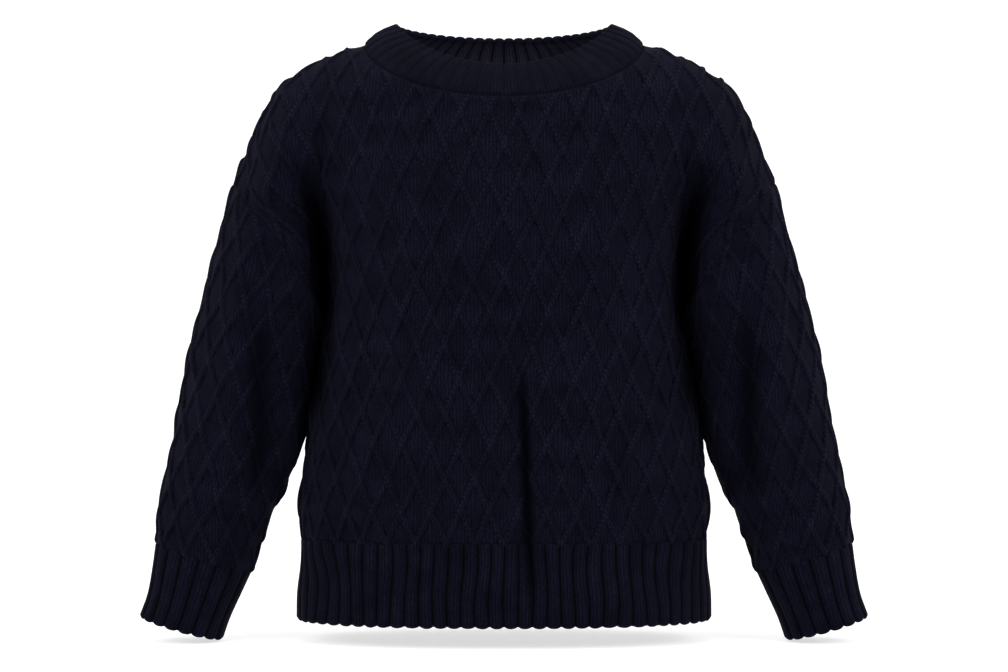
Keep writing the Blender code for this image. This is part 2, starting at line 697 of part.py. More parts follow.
def sleeve_rows(side):
    """The sleeve's surface, for the wearer's side given by its sign on X."""
    turns = np.linspace(math.pi, -math.pi, SLEEVE_COLUMNS)
    rings = [section_ring(section, turns) for section in SLEEVE_SECTIONS[::-1]]
    inward = ease(0.35, 0.95, np.abs(turns) / math.pi)
    away = np.stack([UNDERARM_CLEARANCE * inward, 0 * inward, 0 * inward - SLEEVE_CLEARANCE], 1)
    rings.append(armhole_ring(turns) + away)
    points = sleeve_surface(rings, SLEEVE_ROWS)
    points = fold_sleeve(points, turns)
    if side < 0:
        points = points[:, ::-1] * np.array([-1.0, 1.0, 1.0])
    return points


def sleeve(side, name, collection):
    """A sleeve: one shaped piece, closed by a seam along the underarm."""
    cloth = Cloth(sleeve_rows(side))
    cloth.close_round()
    rows, columns = cloth.points.shape[:2]
    bottom = evenly([cloth.flat(0, column) for column in range(columns)], EDGE_STEP)
    right = evenly([cloth.flat(k, columns - 1) for k in range(rows)], EDGE_STEP)
    top = evenly([cloth.flat(rows - 1, column) for column in range(columns - 1, -1, -1)],
                 ARMHOLE_STEP)
    left = [cloth.flat(rows - 1, 0)] + [cloth.flat(place[0], 0) for place in right[:0:-1]]
    outline = bottom + right + top + left
    first_side = set(range(len(bottom), len(bottom + right) + 1))
    second_side = set(range(len(bottom + right + top), len(outline))) | {0}
    mesh = knit_wall(cloth, outline,
                     lambda k, n: {k, n} <= first_side or {k, n} <= second_side)
    return finish(mesh, name, collection)


def cuff(side, name, collection):
    """A ribbed cuff, closed round the wrist."""
    turns = np.linspace(math.pi, -math.pi, SLEEVE_COLUMNS)
    points = np.array([section_ring(section, turns) for section in CUFF_SECTIONS[::-1]])
    if side < 0:
        points = points[:, ::-1] * np.array([-1.0, 1.0, 1.0])
    cloth = Cloth(points)
    cloth.close_round()
    mesh = ribbed_band(cloth, CUFF_RIBS, True, WALL)
    return finish(mesh, name, collection)


def neck_rings():
    """The neckband's rings from the neckline up to its rim, round the neck from the back."""
    turns = np.linspace(-math.pi, math.pi, BAND_COLUMNS)
    base = []
    rim = []
    for turn in turns:
        piece = "front" if math.cos(turn) > 0 else "back"
        sign = -1 if piece == "front" else 1
        across = NECK_HALF_WIDTH * math.sin(turn)
        height = neckline_height(piece, across)
        depth = max(float(body_depth(piece, np.array(across), np.array(height))), 0)
        fore = abs(math.cos(turn))
        base.append((across, sign * depth, height))
        dip = RIM_DIP_FRONT if piece == "front" else RIM_DIP_BACK
        rim.append((RIM_HALF_WIDTH * math.sin(turn), sign * RIM_HALF_DEPTH * fore,
                    RIM_TOP - dip * fore**1.5))
    base = np.array(base)
    rim = np.array(rim)
    lift = (rim - base) / np.linalg.norm(rim - base, axis=1, keepdims=True)
    start = base + lift * NECK_CLEARANCE
    rings = [start + (rim - start) * share for share in BAND_ROWS]
    bow = np.array(BAND_SWELL) * BAND_BOW
    cloth = Cloth(np.array(rings))
    cloth.close_round()
    return cloth.points + cloth.normal * bow[:, None, None]


def neckband(collection):
    """The ribbed neckband, knitted round and sewn to the neckline."""
    cloth = Cloth(neck_rings())
    cloth.close_round()
    mesh = ribbed_band(cloth, NECK_RIBS, True, BAND_WALL)
    return finish(mesh, "neckband", collection)


def main():
    for thing in list(bpy.data.objects):
        bpy.data.objects.remove(thing)
    collection = bpy.data.collections.new("cable_knit_sweater")
    bpy.context.scene.collection.children.link(collection)
    for piece in ("front", "back"):
        body_panel(piece, collection)
        hem_rib(piece, collection)
    for side, name in ((1, "left"), (-1, "right")):
        sleeve(side, name + "_sleeve", collection)
        cuff(side, name + "_cuff", collection)
    neckband(collection)


main()
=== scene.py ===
import math
import bpy
import numpy as np
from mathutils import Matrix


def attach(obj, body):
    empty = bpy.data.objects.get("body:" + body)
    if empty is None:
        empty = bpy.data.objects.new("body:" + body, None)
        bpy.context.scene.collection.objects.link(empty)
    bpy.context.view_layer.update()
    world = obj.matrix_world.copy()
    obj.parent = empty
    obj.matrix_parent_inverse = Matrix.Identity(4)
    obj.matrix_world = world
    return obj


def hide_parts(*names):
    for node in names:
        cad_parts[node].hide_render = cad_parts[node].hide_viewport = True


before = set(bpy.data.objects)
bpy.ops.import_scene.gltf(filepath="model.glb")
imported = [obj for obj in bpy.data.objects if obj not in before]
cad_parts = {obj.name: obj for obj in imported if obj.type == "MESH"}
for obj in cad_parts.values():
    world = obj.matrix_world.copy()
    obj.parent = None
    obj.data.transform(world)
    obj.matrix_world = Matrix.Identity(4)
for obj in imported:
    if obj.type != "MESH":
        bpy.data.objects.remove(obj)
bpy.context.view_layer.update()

# ---------------------------------------------------------------------------------------------
# Front and back panels. Each is knitted in one piece from the hem join up to the neckline and
# the shoulder line, in plain knit with a lattice of raised cables. They are linked to each
# other at the sides and over the shoulders, and the cloth is filled out as if worn.

WALL = 0.0026              # knit thickness between the cables
DIAMOND_WIDTH = 0.0292     # lattice repeat across the cloth
DIAMOND_HEIGHT = 0.0660    # lattice repeat along the cloth
CABLE_HALF_WIDTH = 0.0035
CABLE_RISE = 0.0024
CABLE_WEAVE = 0.34         # how much a cable rises where it crosses over another
ROPE_PITCH = 0.0050        # one twist of a cable's two strands
WALE = 0.0036              # width of a stitch
COURSE = 0.0026            # height of a stitch
SEAM_GAP = 0.0003
TUCK_DEPTH = 0.0130        # how much deeper the crease between arm and chest is tucked
TUCK_WIDTH = 0.0085
YOKE_DEPTH = 0.0700        # least depth of the shoulders
SOFTNESS = 0.0010          # height of the cloth's slow unevenness
STRAIN = 0.0016            # how far the lattice is pulled out of true
HEM_BOTTOM = -0.5915
HEM_TOP = -0.5090
UNDERARM = -0.3050
SLEEVE_POINT = -0.1420
NECK_HALF_WIDTH = 0.1440
NECK_DROP = {"front": 0.0640, "back": 0.0170}
PANEL_ROWS = 271
PANEL_COLUMNS = 301
NAVY = (0.0016, 0.0016, 0.0052, 1.0)
# Darkest navy: painted shade in the gaps of the knit and in folds.
NAVY_PAINTED_SHADE = (0.0002, 0.0002, 0.0006, 1.0)
# Pale navy: random tone, and the painted highlight on cables.
NAVY_PALE = (0.0082, 0.0082, 0.0212, 1.0)
NAVY_PAINTED_LIGHT = (0.0420, 0.0410, 0.0740, 1.0)   # painted light inside the neck, far brighter than the yarn

# Body sections: height, half width, front depth, back depth, squareness.
BODY_SECTIONS = (
    (-0.5920, 0.2105, 0.0960, 0.0960, 2.35),
    (-0.5650, 0.2100, 0.0965, 0.0960, 2.35),
    (-0.5350, 0.2065, 0.0970, 0.0955, 2.35),
    (-0.5090, 0.2060, 0.0990, 0.0960, 2.35),
    (-0.4800, 0.2090, 0.1030, 0.0970, 2.35),
    (-0.4500, 0.2070, 0.1060, 0.0980, 2.35),
    (-0.4100, 0.2010, 0.1090, 0.1000, 2.35),
    (-0.3600, 0.1950, 0.1130, 0.1030, 2.30),
    (-0.3050, 0.1890, 0.1170, 0.1080, 2.30),
    (-0.2500, 0.1860, 0.1190, 0.1120, 2.30),
    (-0.2000, 0.1900, 0.1180, 0.1130, 2.30),
    (-0.1500, 0.2050, 0.1130, 0.1110, 2.30),
    (-0.1000, 0.2300, 0.1040, 0.1060, 2.20),
    (-0.0500, 0.2500, 0.0930, 0.0980, 2.20),
    (0.0000, 0.2600, 0.0860, 0.0900, 2.20),
    (0.0600, 0.2600, 0.0820, 0.0860, 2.20),
)
# The shoulder and outer arm from the front: distance from the middle, height.
SHOULDER_LINE = (
    (0.0000, 0.0440), (0.0700, 0.0260), (0.1350, 0.0000), (0.1800, -0.0155),
    (0.2100, -0.0310), (0.2310, -0.0475), (0.2430, -0.0650), (0.2530, -0.0850),
    (0.2630, -0.1100), (0.2760, -0.1420), (0.2890, -0.1800), (0.3060, -0.2500),
    (0.3200, -0.3110),
)
# The armhole seam: height, distance from the middle.
ARMHOLE = (
    (-0.3050, 0.1880), (-0.2900, 0.1850), (-0.2650, 0.1900), (-0.2360, 0.2080),
    (-0.2080, 0.2240), (-0.1900, 0.2400), (-0.1700, 0.2570), (-0.1550, 0.2680),
    (-0.1420, 0.2760),
)
# The crease between arm and chest: height, distance from the middle, depth of its floor
# from the middle plane, arm's depth at its fullest.
ARM_CREASE = (
    (-0.3050, 0.1860, 0.0060, 0.0600),
    (-0.2900, 0.1840, 0.0160, 0.0610),
    (-0.2600, 0.1800, 0.0300, 0.0630),
    (-0.2200, 0.1810, 0.0420, 0.0660),
    (-0.1800, 0.1860, 0.0560, 0.0700),
    (-0.1400, 0.1960, 0.0740, 0.0740),
    (-0.1000, 0.2060, 0.0860, 0.0760),
)
# Creases: panel, middle across, middle height, length, width, slant, depth.
CREASES = (
    ("front", 0.0200, -0.4350, 0.240, 0.0110, -0.04, 0.0065),
    ("front", 0.0080, -0.3600, 0.080, 0.0090, 0.30, 0.0030),
    ("front", 0.0360, -0.3700, 0.070, 0.0090, -0.30, 0.0030),
    ("front", -0.0900, -0.4550, 0.120, 0.0160, -0.10, 0.0028),
    ("front", 0.1150, -0.4300, 0.150, 0.0170, 0.12, 0.0030),
    ("front", -0.1300, -0.3350, 0.110, 0.0150, 0.75, 0.0034),
    ("front", 0.1320, -0.3300, 0.120, 0.0150, -0.70, 0.0034),
    ("back", -0.0300, -0.4400, 0.200, 0.0140, 0.06, 0.0050),
    ("back", 0.0600, -0.4000, 0.160, 0.0160, -0.10, 0.0038),
    ("back", -0.1250, -0.3450, 0.130, 0.0160, 0.65, 0.0040),
    ("back", 0.1200, -0.3500, 0.120, 0.0150, -0.65, 0.0036),
)


def curve_at(rows, column, where):
    """Read a column of a table at a place between its rows, on a smooth curve."""
    table = np.array(rows, dtype=float)
    table = table[np.argsort(table[:, 0])]
    keys = table[:, 0]
    values = table[:, column]
    slopes = np.gradient(values, keys)
    where = np.clip(np.asarray(where, dtype=float), keys[0], keys[-1])
    low = np.clip(np.searchsorted(keys, where) - 1, 0, len(keys) - 2)
    span = keys[low + 1] - keys[low]
    t = (where - keys[low]) / span
    return (values[low] * (2 * t**3 - 3 * t**2 + 1) + slopes[low] * span * (t**3 - 2 * t**2 + t)
            + values[low + 1] * (3 * t**2 - 2 * t**3) + slopes[low + 1] * span * (t**3 - t**2))


def ease(low, high, value):
    t = np.clip((np.asarray(value, dtype=float) - low) / (high - low), 0.0, 1.0)
    return t * t * (3 - 2 * t)


def dip(distance, width):
    """1 at an edge, falling softly to 0 at a width from it."""
    return (1 - np.clip(distance / width, 0, 1))**2


def rounded(distance, radius):
    """How far a rounded edge falls back, by the distance from it."""
    return radius * (1 - np.sqrt(np.maximum(1 - np.clip(1 - distance / radius, 0, 1)**2, 0)))


def oval(share, power):
    """A squarish oval's half depth, by the share of its half width, or the other way round."""
    return np.maximum(1 - np.clip(share, 0, 1)**power, 0)**(1 / power)


def scallop(ribs):
    """The wavy outline at the ribs' ends, highest at the middle of a rib."""
    return np.abs(np.sin(ribs * math.pi))**0.7 - 0.6


def lengths_along(line):
    return np.concatenate([[0], np.cumsum(np.linalg.norm(np.diff(line, axis=0), axis=1))])


def places_at(where, keys, line):
    """Points of a line at given keys, straight between the points that it has."""
    return np.stack([np.interp(where, keys, line[:, axis]) for axis in range(3)], axis=-1)


def waves(u, v, seed, length):
    """Slow, uneven waves between about -1 and 1, the same each time."""
    rng = np.random.default_rng(seed)
    total = np.zeros(np.broadcast(u, v).shape)
    for _ in range(7):
        turn = rng.uniform(0, 2 * math.pi)
        rate = 2 * math.pi / (length * rng.uniform(0.6, 1.7))
        shift = rng.uniform(0, 2 * math.pi)
        total += np.sin((u * math.cos(turn) + v * math.sin(turn)) * rate + shift)
    return total / 4


def pull(u, v, first, second):
    """How far the lattice is pulled out of true, across and along the cloth."""
    return STRAIN * np.stack([waves(u, v, first, 0.09), 1.6 * waves(u, v, second, 0.09)], axis=-1)


def shoulder_turn(across, height):
    """How far a place has come round the shoulder's curve, the curve's radius and its slope."""
    reach = np.abs(across)
    ridge = curve_at(SHOULDER_LINE, 1, reach)
    slope = (curve_at(SHOULDER_LINE, 1, reach + 0.002) - ridge) / 0.002
    away = np.maximum(ridge - height, 0) / np.sqrt(1 + slope**2)
    radius = 0.074 - 0.014 * ease(0.20, 0.27, reach)
    return np.clip(away / radius, 0, 1), radius, slope


def body_depth(piece, across, height):
    """Distance of the front or back from the middle plane."""
    reach = np.abs(across)
    half = curve_at(BODY_SECTIONS, 1, height)
    depth = curve_at(BODY_SECTIONS, 2 if piece == "front" else 3, height)
    power = curve_at(BODY_SECTIONS, 4, height)
    torso = depth * oval(reach / half, power)
    crease = curve_at(ARM_CREASE, 1, height)
    floor = curve_at(ARM_CREASE, 2, height)
    chest = np.maximum(torso, floor * ease(-0.050, 0.0, reach - crease))
    arm_full = curve_at(ARM_CREASE, 3, height)
    arm = floor + (arm_full - floor) * ease(0.0, 0.034, reach - crease)
    profile = np.where(reach < crease, chest, arm)
    valley = np.exp(-(((reach - crease) / TUCK_WIDTH)**2))
    profile = profile + (floor - profile) * valley * ease(-0.095, -0.160, height)
    tuck = np.exp(-(((reach - crease - 0.001) / TUCK_WIDTH)**2)) * ease(-0.125, -0.200, height)
    profile = profile - TUCK_DEPTH * tuck * ease(UNDERARM + 0.004, UNDERARM + 0.030, height)
    yoke = np.maximum(torso, YOKE_DEPTH)
    profile = profile + (yoke - profile) * ease(-0.150, -0.085, height)
    t = shoulder_turn(across, height)[0]
    worn = profile * np.sqrt(np.maximum(1 - (1 - t)**2, 0))
    result = torso + (worn - torso) * ease(UNDERARM, UNDERARM + 0.012, height)
    for name, middle, level, length, width, slant, press in CREASES:
        if name == piece:
            along = (height - level) / (length / 2)
            side = (across - middle - slant * (height - level)) / width
            result = result - press * np.exp(-side**2) * np.exp(-along**4)
    return result


def body_shade(piece, across, height):
    """Painted shade: how deep in a fold a place lies, from 0 on open cloth to 1 where hardly
    any light comes.
    """
    reach = np.abs(across)
    crease = curve_at(ARM_CREASE, 1, height)
    # Painted shade in the crease between arm and chest, beside the sides under the sleeves and
    # along the deeper folds.
    tuck = np.exp(-(np.abs((reach - crease - 0.003) / 0.0130)**2.5)) * ease(-0.110, -0.200, height)
    shade = tuck * ease(UNDERARM - 0.006, UNDERARM + 0.004, height)
    beside = np.exp(-((body_reach(height) - reach) / 0.014)**2) * ease(-0.400, -0.345, height)
    shade = np.maximum(shade, beside * ease(UNDERARM + 0.004, UNDERARM, height))
    for name, middle, level, length, width, slant, press in CREASES:
        if name == piece:
            along = (height - level) / (length / 2)
            side = (across - middle - slant * (height - level) - 0.002) / (width * 0.42)
            fold = (press / 0.0065)**3 * np.exp(-side**2) * np.exp(-along**4)
            shade = np.maximum(shade, 0.72 * fold * ease(-0.325, -0.375, height))
    return shade


def body_reach(height):
    """Half width of the front and back panels at a height."""
    side = curve_at(BODY_SECTIONS, 1, height)
    armhole = curve_at(ARMHOLE, 1, height)
    reach = np.linspace(0, SHOULDER_LINE[-1][0], 400)
    shoulder = np.interp(height, curve_at(SHOULDER_LINE, 1, reach)[::-1], reach[::-1])
    return np.where(height < UNDERARM, side, np.where(height < SLEEVE_POINT, armhole, shoulder))


def neckline_height(piece, across):
    share = np.minimum(np.abs(across) / NECK_HALF_WIDTH, 1)
    return -NECK_DROP[piece] * np.sqrt(1 - share**2)


def body_points(piece, turns, height):
    """Points of the front or back at each turn round it, from one side to the other."""
    across = body_reach(height) * np.sin(turns * math.pi / 2)
    depth = np.maximum(body_depth(piece, across, height), 0.0) + SEAM_GAP / 2
    if piece == "front":
        return np.stack([across, -depth, height], axis=-1)
    return np.stack([-across, depth, height], axis=-1)


def body_lengths(across, height):
    """Length of cloth from the hem join up to a place, along the knit's columns."""
    t, radius, slope = shoulder_turn(across, height)
    wrap = radius * (math.pi / 2 - 1) - radius * (np.arccos(1 - t) - t)
    return height - HEM_TOP + wrap / (1 + slope**2)


def widths_across(points, along):
    """Distance across the cloth from the middle column, measured square to the columns."""
    step = np.linalg.norm(np.diff(points, axis=1), axis=2)
    step = np.sqrt(np.maximum(step**2 - np.diff(along, axis=1)**2, 0.04 * step**2))
    across = np.concatenate([np.zeros((len(points), 1)), np.cumsum(step, axis=1)], axis=1)
    return across - across[:, across.shape[1] // 2][:, None]


def read_grid(field, row, column):
    """Read a grid of values at places between its rows and columns."""
    i = np.clip(row.astype(int), 0, field.shape[0] - 2)
    j = np.clip(column.astype(int), 0, field.shape[1] - 2)
    s = np.clip(row - i, 0, 1)
    t = np.clip(column - j, 0, 1)
    return ((1 - s) * (1 - t) * field[i, j] + (1 - s) * t * field[i, j + 1]
            + s * (1 - t) * field[i + 1, j] + s * t * field[i + 1, j + 1])


def surface_normals(points, closed=False):
    normal = np.cross(np.gradient(points, axis=1), np.gradient(points, axis=0))
    normal /= np.maximum(np.linalg.norm(normal, axis=2, keepdims=True), 1e-12)
    if closed:
        both = normal[:, 0] + normal[:, -1]
        normal[:, 0] = normal[:, -1] = both / np.linalg.norm(both, axis=1, keepdims=True)
    return normal


def knitted_shell(name, outer, inner, flat, fade, step=3, closed=False, ribs=None, shade=None,
                  inner_fade=None, inside_light=0.0):
    """A knitted wall as one closed mesh: an outer skin, an inner skin and a rim round them.

    The inner skin has every step-th row and column of the outer one. The flat pattern becomes
    the piece's UV map, in metres, and the attributes that the relief reads. The yarn reads
    shade as painted colour: above 0 it is painted shade deep in a fold, below 0 (inside only)
    it is painted light that brightens the inside of the neck.
    """
    rows, columns = outer.shape[:2]
    few_rows, few_columns = inner.shape[:2]
    turn = columns - 1 if closed else columns
    few_turn = few_columns - 1 if closed else few_columns
    first = rows * columns
    number = [np.arange(rows)[:, None] * turn + np.arange(columns)[None, :] % turn,
              rows * turn + np.arange(few_rows)[:, None] * few_turn
              + np.arange(few_columns)[None, :] % few_turn]
    real = np.concatenate([number[0].ravel(), number[1].ravel()])
    place = np.concatenate([outer[:, :turn].reshape(-1, 3), inner[:, :few_turn].reshape(-1, 3)])
    uv = np.concatenate([flat.reshape(-1, 2), flat[::step, ::step].reshape(-1, 2)])
    over = np.arange(first).reshape(rows, columns)
    under = first + np.arange(few_rows * few_columns).reshape(few_rows, few_columns)
    faces = np.stack([over[:-1, :-1], over[:-1, 1:], over[1:, 1:], over[1:, :-1]], -1)
    faces = faces.reshape(-1, 4).tolist()
    back = np.stack([under[:-1, 1:], under[:-1, :-1], under[1:, :-1], under[1:, 1:]], -1)
    faces += back.reshape(-1, 4).tolist()
    edges = [(over[0], under[0], -1), (over[-1], under[-1], 1)]
    if not closed:
        edges += [(over[:, 0], under[:, 0], 1), (over[:, -1], under[:, -1], -1)]
    for long, short, way in edges:
        for k in range(len(short) - 1):
            loop = list(long[step * k:step * k + step + 1]) + [short[k + 1], short[k]]
            faces.append([int(x) for x in (loop if way > 0 else loop[::-1])])
    mesh = bpy.data.meshes.new(name)
    mesh.from_pydata(place.tolist(), [], [[int(real[k]) for k in face] for face in faces])
    corners = np.concatenate([np.array(face) for face in faces])
    layer = mesh.uv_layers.new(name="cloth")
    layer.data.foreach_set("uv", uv[corners].ravel().astype(np.float32))
    plain = np.zeros((few_rows, few_columns))
    values = {"flat_u": (flat[..., 0], flat[::step, ::step, 0]),
              "flat_v": (flat[..., 1], flat[::step, ::step, 1]),
              "fade": (fade, plain if inner_fade is None else inner_fade)}
    if ribs is not None:
        values["rib"] = (ribs, ribs[::step, ::step])
    values["shade"] = (np.zeros((rows, columns)) if shade is None else shade, plain - inside_light)
    for key, (outside, inside) in values.items():
        data = np.concatenate([outside[:, :turn].ravel(), inside[:, :few_turn].ravel()])
        layer = mesh.attributes.new(key, "FLOAT", "POINT")
        layer.data.foreach_set("value", data.astype(np.float32))
    mesh.shade_smooth()
    piece = bpy.data.objects.new(name, mesh)
    bpy.context.scene.collection.objects.link(piece)
    return piece


class Wires:
    """Joins the nodes of one tree."""

    def __init__(self, tree):
        self.tree = tree

    def node(self, kind, **values):
        made = self.tree.nodes.new(kind)
        for key, value in values.items():
            setattr(made, key, value)
        return made

    def put(self, socket, value):
        if isinstance(value, bpy.types.NodeSocket):
            self.tree.links.new(value, socket)
        else:
            socket.default_value = value

    def sum(self, operation, *values, clamp=False):
        made = self.node("ShaderNodeMath", operation=operation, use_clamp=clamp)
        for socket, value in zip(made.inputs, values):
            self.put(socket, value)
        return made.outputs[0]

    def blend(self, share, low, high):
        made = self.node("ShaderNodeMix", data_type="RGBA")
        self.put(made.inputs["Factor"], share)
        self.put(made.inputs["A"], low)
        self.put(made.inputs["B"], high)
        return made.outputs["Result"]

    def noise(self, vector, scale, detail, roughness=0.5, dimensions="2D"):
        made = self.node("ShaderNodeTexNoise", noise_dimensions=dimensions)
        self.put(made.inputs["Vector"], vector)
        for name, value in (("Scale", scale), ("Detail", detail), ("Roughness", roughness)):
            made.inputs[name].default_value = value
        return made.outputs[0]

    def split(self, vector):
        made = self.node("ShaderNodeSeparateXYZ")
        self.put(made.inputs[0], vector)
        return made.outputs["X"], made.outputs["Y"]

    def read(self, key):
        made = self.node("ShaderNodeAttribute", attribute_type="GEOMETRY", attribute_name=key)
        return made.outputs["Fac"]

    def sockets(self, way, kind, **values):
        for name, value in values.items():
            socket = self.tree.interface.new_socket(name.replace("_", " "), in_out=way,
                                                    socket_type="NodeSocket" + kind)
            if value is not None:
                socket.default_value = value

    def deliver(self, geometry, wool):
        """End a shape tree with plain mesh in the wool that is passed in."""
        real = self.node("GeometryNodeRealizeInstances")
        self.put(real.inputs["Geometry"], geometry)
        dressed = self.node("GeometryNodeSetMaterial")
        self.put(dressed.inputs["Geometry"], real.outputs["Geometry"])
        self.put(dressed.inputs["Material"], wool)
        self.put(self.node("NodeGroupOutput").inputs["Geometry"], dressed.outputs["Geometry"])


def cable_strands(w, u, v, width, height, half, weave):
    """The two sets of slanting cables: each one's rise, distance share and place along it."""
    across = w.sum("DIVIDE", u, width)
    along = w.sum("DIVIDE", v, height)
    area = w.sum("MULTIPLY", width, height)
    diagonal = w.sum("SQRT", w.sum("ADD", w.sum("MULTIPLY", width, width),
                                   w.sum("MULTIPLY", height, height)))
    spacing = w.sum("DIVIDE", area, diagonal)
    rising = w.sum("ADD", across, along)
    falling = w.sum("SUBTRACT", across, along)
    strands = []
    for line, other, sign in ((rising, falling, 1.0), (falling, rising, -1.0)):
        number = w.sum("ROUND", line)
        offset = w.sum("SUBTRACT", line, number)
        gap = w.sum("MULTIPLY", w.sum("ABSOLUTE", offset), spacing)
        beyond = w.sum("DIVIDE", gap, half)
        share = w.sum("MINIMUM", beyond, 1.0)
        crown = w.sum("POWER", w.sum("SUBTRACT", 1.0, w.sum("POWER", share, 3.0)), 0.6)
        wave = w.sum("COSINE", w.sum("MULTIPLY", w.sum("ADD", other, number), math.pi))
        lift = w.sum("MULTIPLY_ADD", wave, w.sum("MULTIPLY", weave, sign), 1.0)
        length = w.sum("MULTIPLY", other, w.sum("MULTIPLY", diagonal, 0.5))
        away = w.sum("MULTIPLY", w.sum("SUBTRACT", beyond, 1.0), 2.2, clamp=True)
        strands.append((w.sum("MULTIPLY", crown, lift), share, length, away))
    return strands


def relief_tree(name, sizes):
    """An empty relief tree with named inputs; it moves each point out along its normal."""
    tree = bpy.data.node_groups.new(name, "GeometryNodeTree")
    w = Wires(tree)
    w.sockets("INPUT", "Geometry", Geometry=None)
    w.sockets("INPUT", "Float", **sizes)
    w.sockets("INPUT", "Material", Wool=None)
    w.sockets("OUTPUT", "Geometry", Geometry=None)
    start = w.node("NodeGroupInput")

    def attribute(key):
        made = w.node("GeometryNodeInputNamedAttribute", data_type="FLOAT")
        made.inputs["Name"].default_value = key
        return made.outputs["Attribute"]

    def finish(rise):
        raised = w.sum("MULTIPLY", rise, attribute("fade"))
        out = w.node("ShaderNodeVectorMath", operation="SCALE")
        w.put(out.inputs[0], w.node("GeometryNodeInputNormal").outputs["Normal"])
        w.put(out.inputs["Scale"], raised)
        move = w.node("GeometryNodeSetPosition")
        w.put(move.inputs["Geometry"], start.outputs["Geometry"])
        w.put(move.inputs["Offset"], out.outputs[0])
        w.deliver(move.outputs["Geometry"], start.outputs["Wool"])

    return tree, w, start, attribute, finish


def run_tree(piece, tree, values):
    """Run a tree on a piece, with its inputs set by name, and keep the result as plain mesh."""
    modifier = piece.modifiers.new(tree.name, "NODES")
    modifier.node_group = tree
    for item in tree.interface.items_tree:
        if item.item_type == "SOCKET" and item.in_out == "INPUT" and item.name in values:
            modifier[item.identifier] = values[item.name]
    shape = piece.evaluated_get(bpy.context.evaluated_depsgraph_get())
    mesh = bpy.data.meshes.new_from_object(shape)
    piece.modifiers.remove(modifier)
    mesh.name = piece.name
    piece.data = mesh
    mesh.shade_smooth()
    return piece


def cable_relief_tree():
    """Raises the lattice of cables, which weave over and under each other."""
    tree, w, start, attribute, finish = relief_tree("cable_relief", {
        "Diamond Width": DIAMOND_WIDTH, "Diamond Height": DIAMOND_HEIGHT,
        "Cable Half Width": CABLE_HALF_WIDTH, "Cable Rise": CABLE_RISE, "Weave": CABLE_WEAVE})
    size = start.outputs
    strands = cable_strands(w, attribute("flat_u"), attribute("flat_v"), size["Diamond Width"],
                            size["Diamond Height"], size["Cable Half Width"], size["Weave"])
    rise = w.sum("MULTIPLY", w.sum("MAXIMUM", strands[0][0], strands[1][0]), size["Cable Rise"])
    finish(rise)
    return tree


def stitch_group():
    """Plain knit: columns of V stitches, from the cloth's flat pattern in metres."""
    group = bpy.data.node_groups.new("knit_stitches", "ShaderNodeTree")
    w = Wires(group)
    w.sockets("INPUT", "Vector", Flat=None)
    w.sockets("INPUT", "Float", Wale=WALE, Course=COURSE)
    w.sockets("OUTPUT", "Float", Height=None, Gap=None, Fuzz=None, Column_Line=None)
    start = w.node("NodeGroupInput")
    flat = start.outputs["Flat"]
    across, along = w.split(flat)
    bend = w.sum("MULTIPLY", w.sum("SUBTRACT", w.noise(flat, 260.0, 1.0), 0.5), 0.55)
    column = w.sum("ADD", w.sum("DIVIDE", across, start.outputs["Wale"]), bend)
    side = w.sum("ABSOLUTE", w.sum("SUBTRACT", w.sum("FRACT", column), 0.5))
    off = w.sum("MULTIPLY", w.sum("SUBTRACT", side, 0.25), 4.0)
    off = w.sum("MAXIMUM", off, w.sum("MULTIPLY", off, 0.50))
    leg = w.sum("SUBTRACT", 1.0, w.sum("MULTIPLY", off, off))
    row = w.sum("ADD", w.sum("DIVIDE", along, start.outputs["Course"]), bend)
    phase = w.sum("FRACT", w.sum("SUBTRACT", row, w.sum("MULTIPLY", side, 2.2)))
    swell = w.sum("MULTIPLY", w.sum("SUBTRACT", phase, 0.5), 2.0)
    length = w.sum("SUBTRACT", 1.0, w.sum("MULTIPLY", swell, swell))
    body = w.sum("MULTIPLY", leg, w.sum("MULTIPLY_ADD", length, 0.7, 0.3), clamp=True)
    height = w.sum("SQRT", body)
    end = w.node("NodeGroupOutput")
    w.put(end.inputs["Height"], height)
    # Gap is painted shade in the low places between stitches; Column Line is painted shade between
    # the columns.
    w.put(end.inputs["Gap"], w.sum("MULTIPLY_ADD", height, -1.5, 1.4, clamp=True))
    w.put(end.inputs["Fuzz"], w.noise(flat, 620.0, 3.0, 0.65))
    w.put(end.inputs["Column Line"], w.sum("MULTIPLY_ADD", side, 6.0, -1.9, clamp=True))
    return group


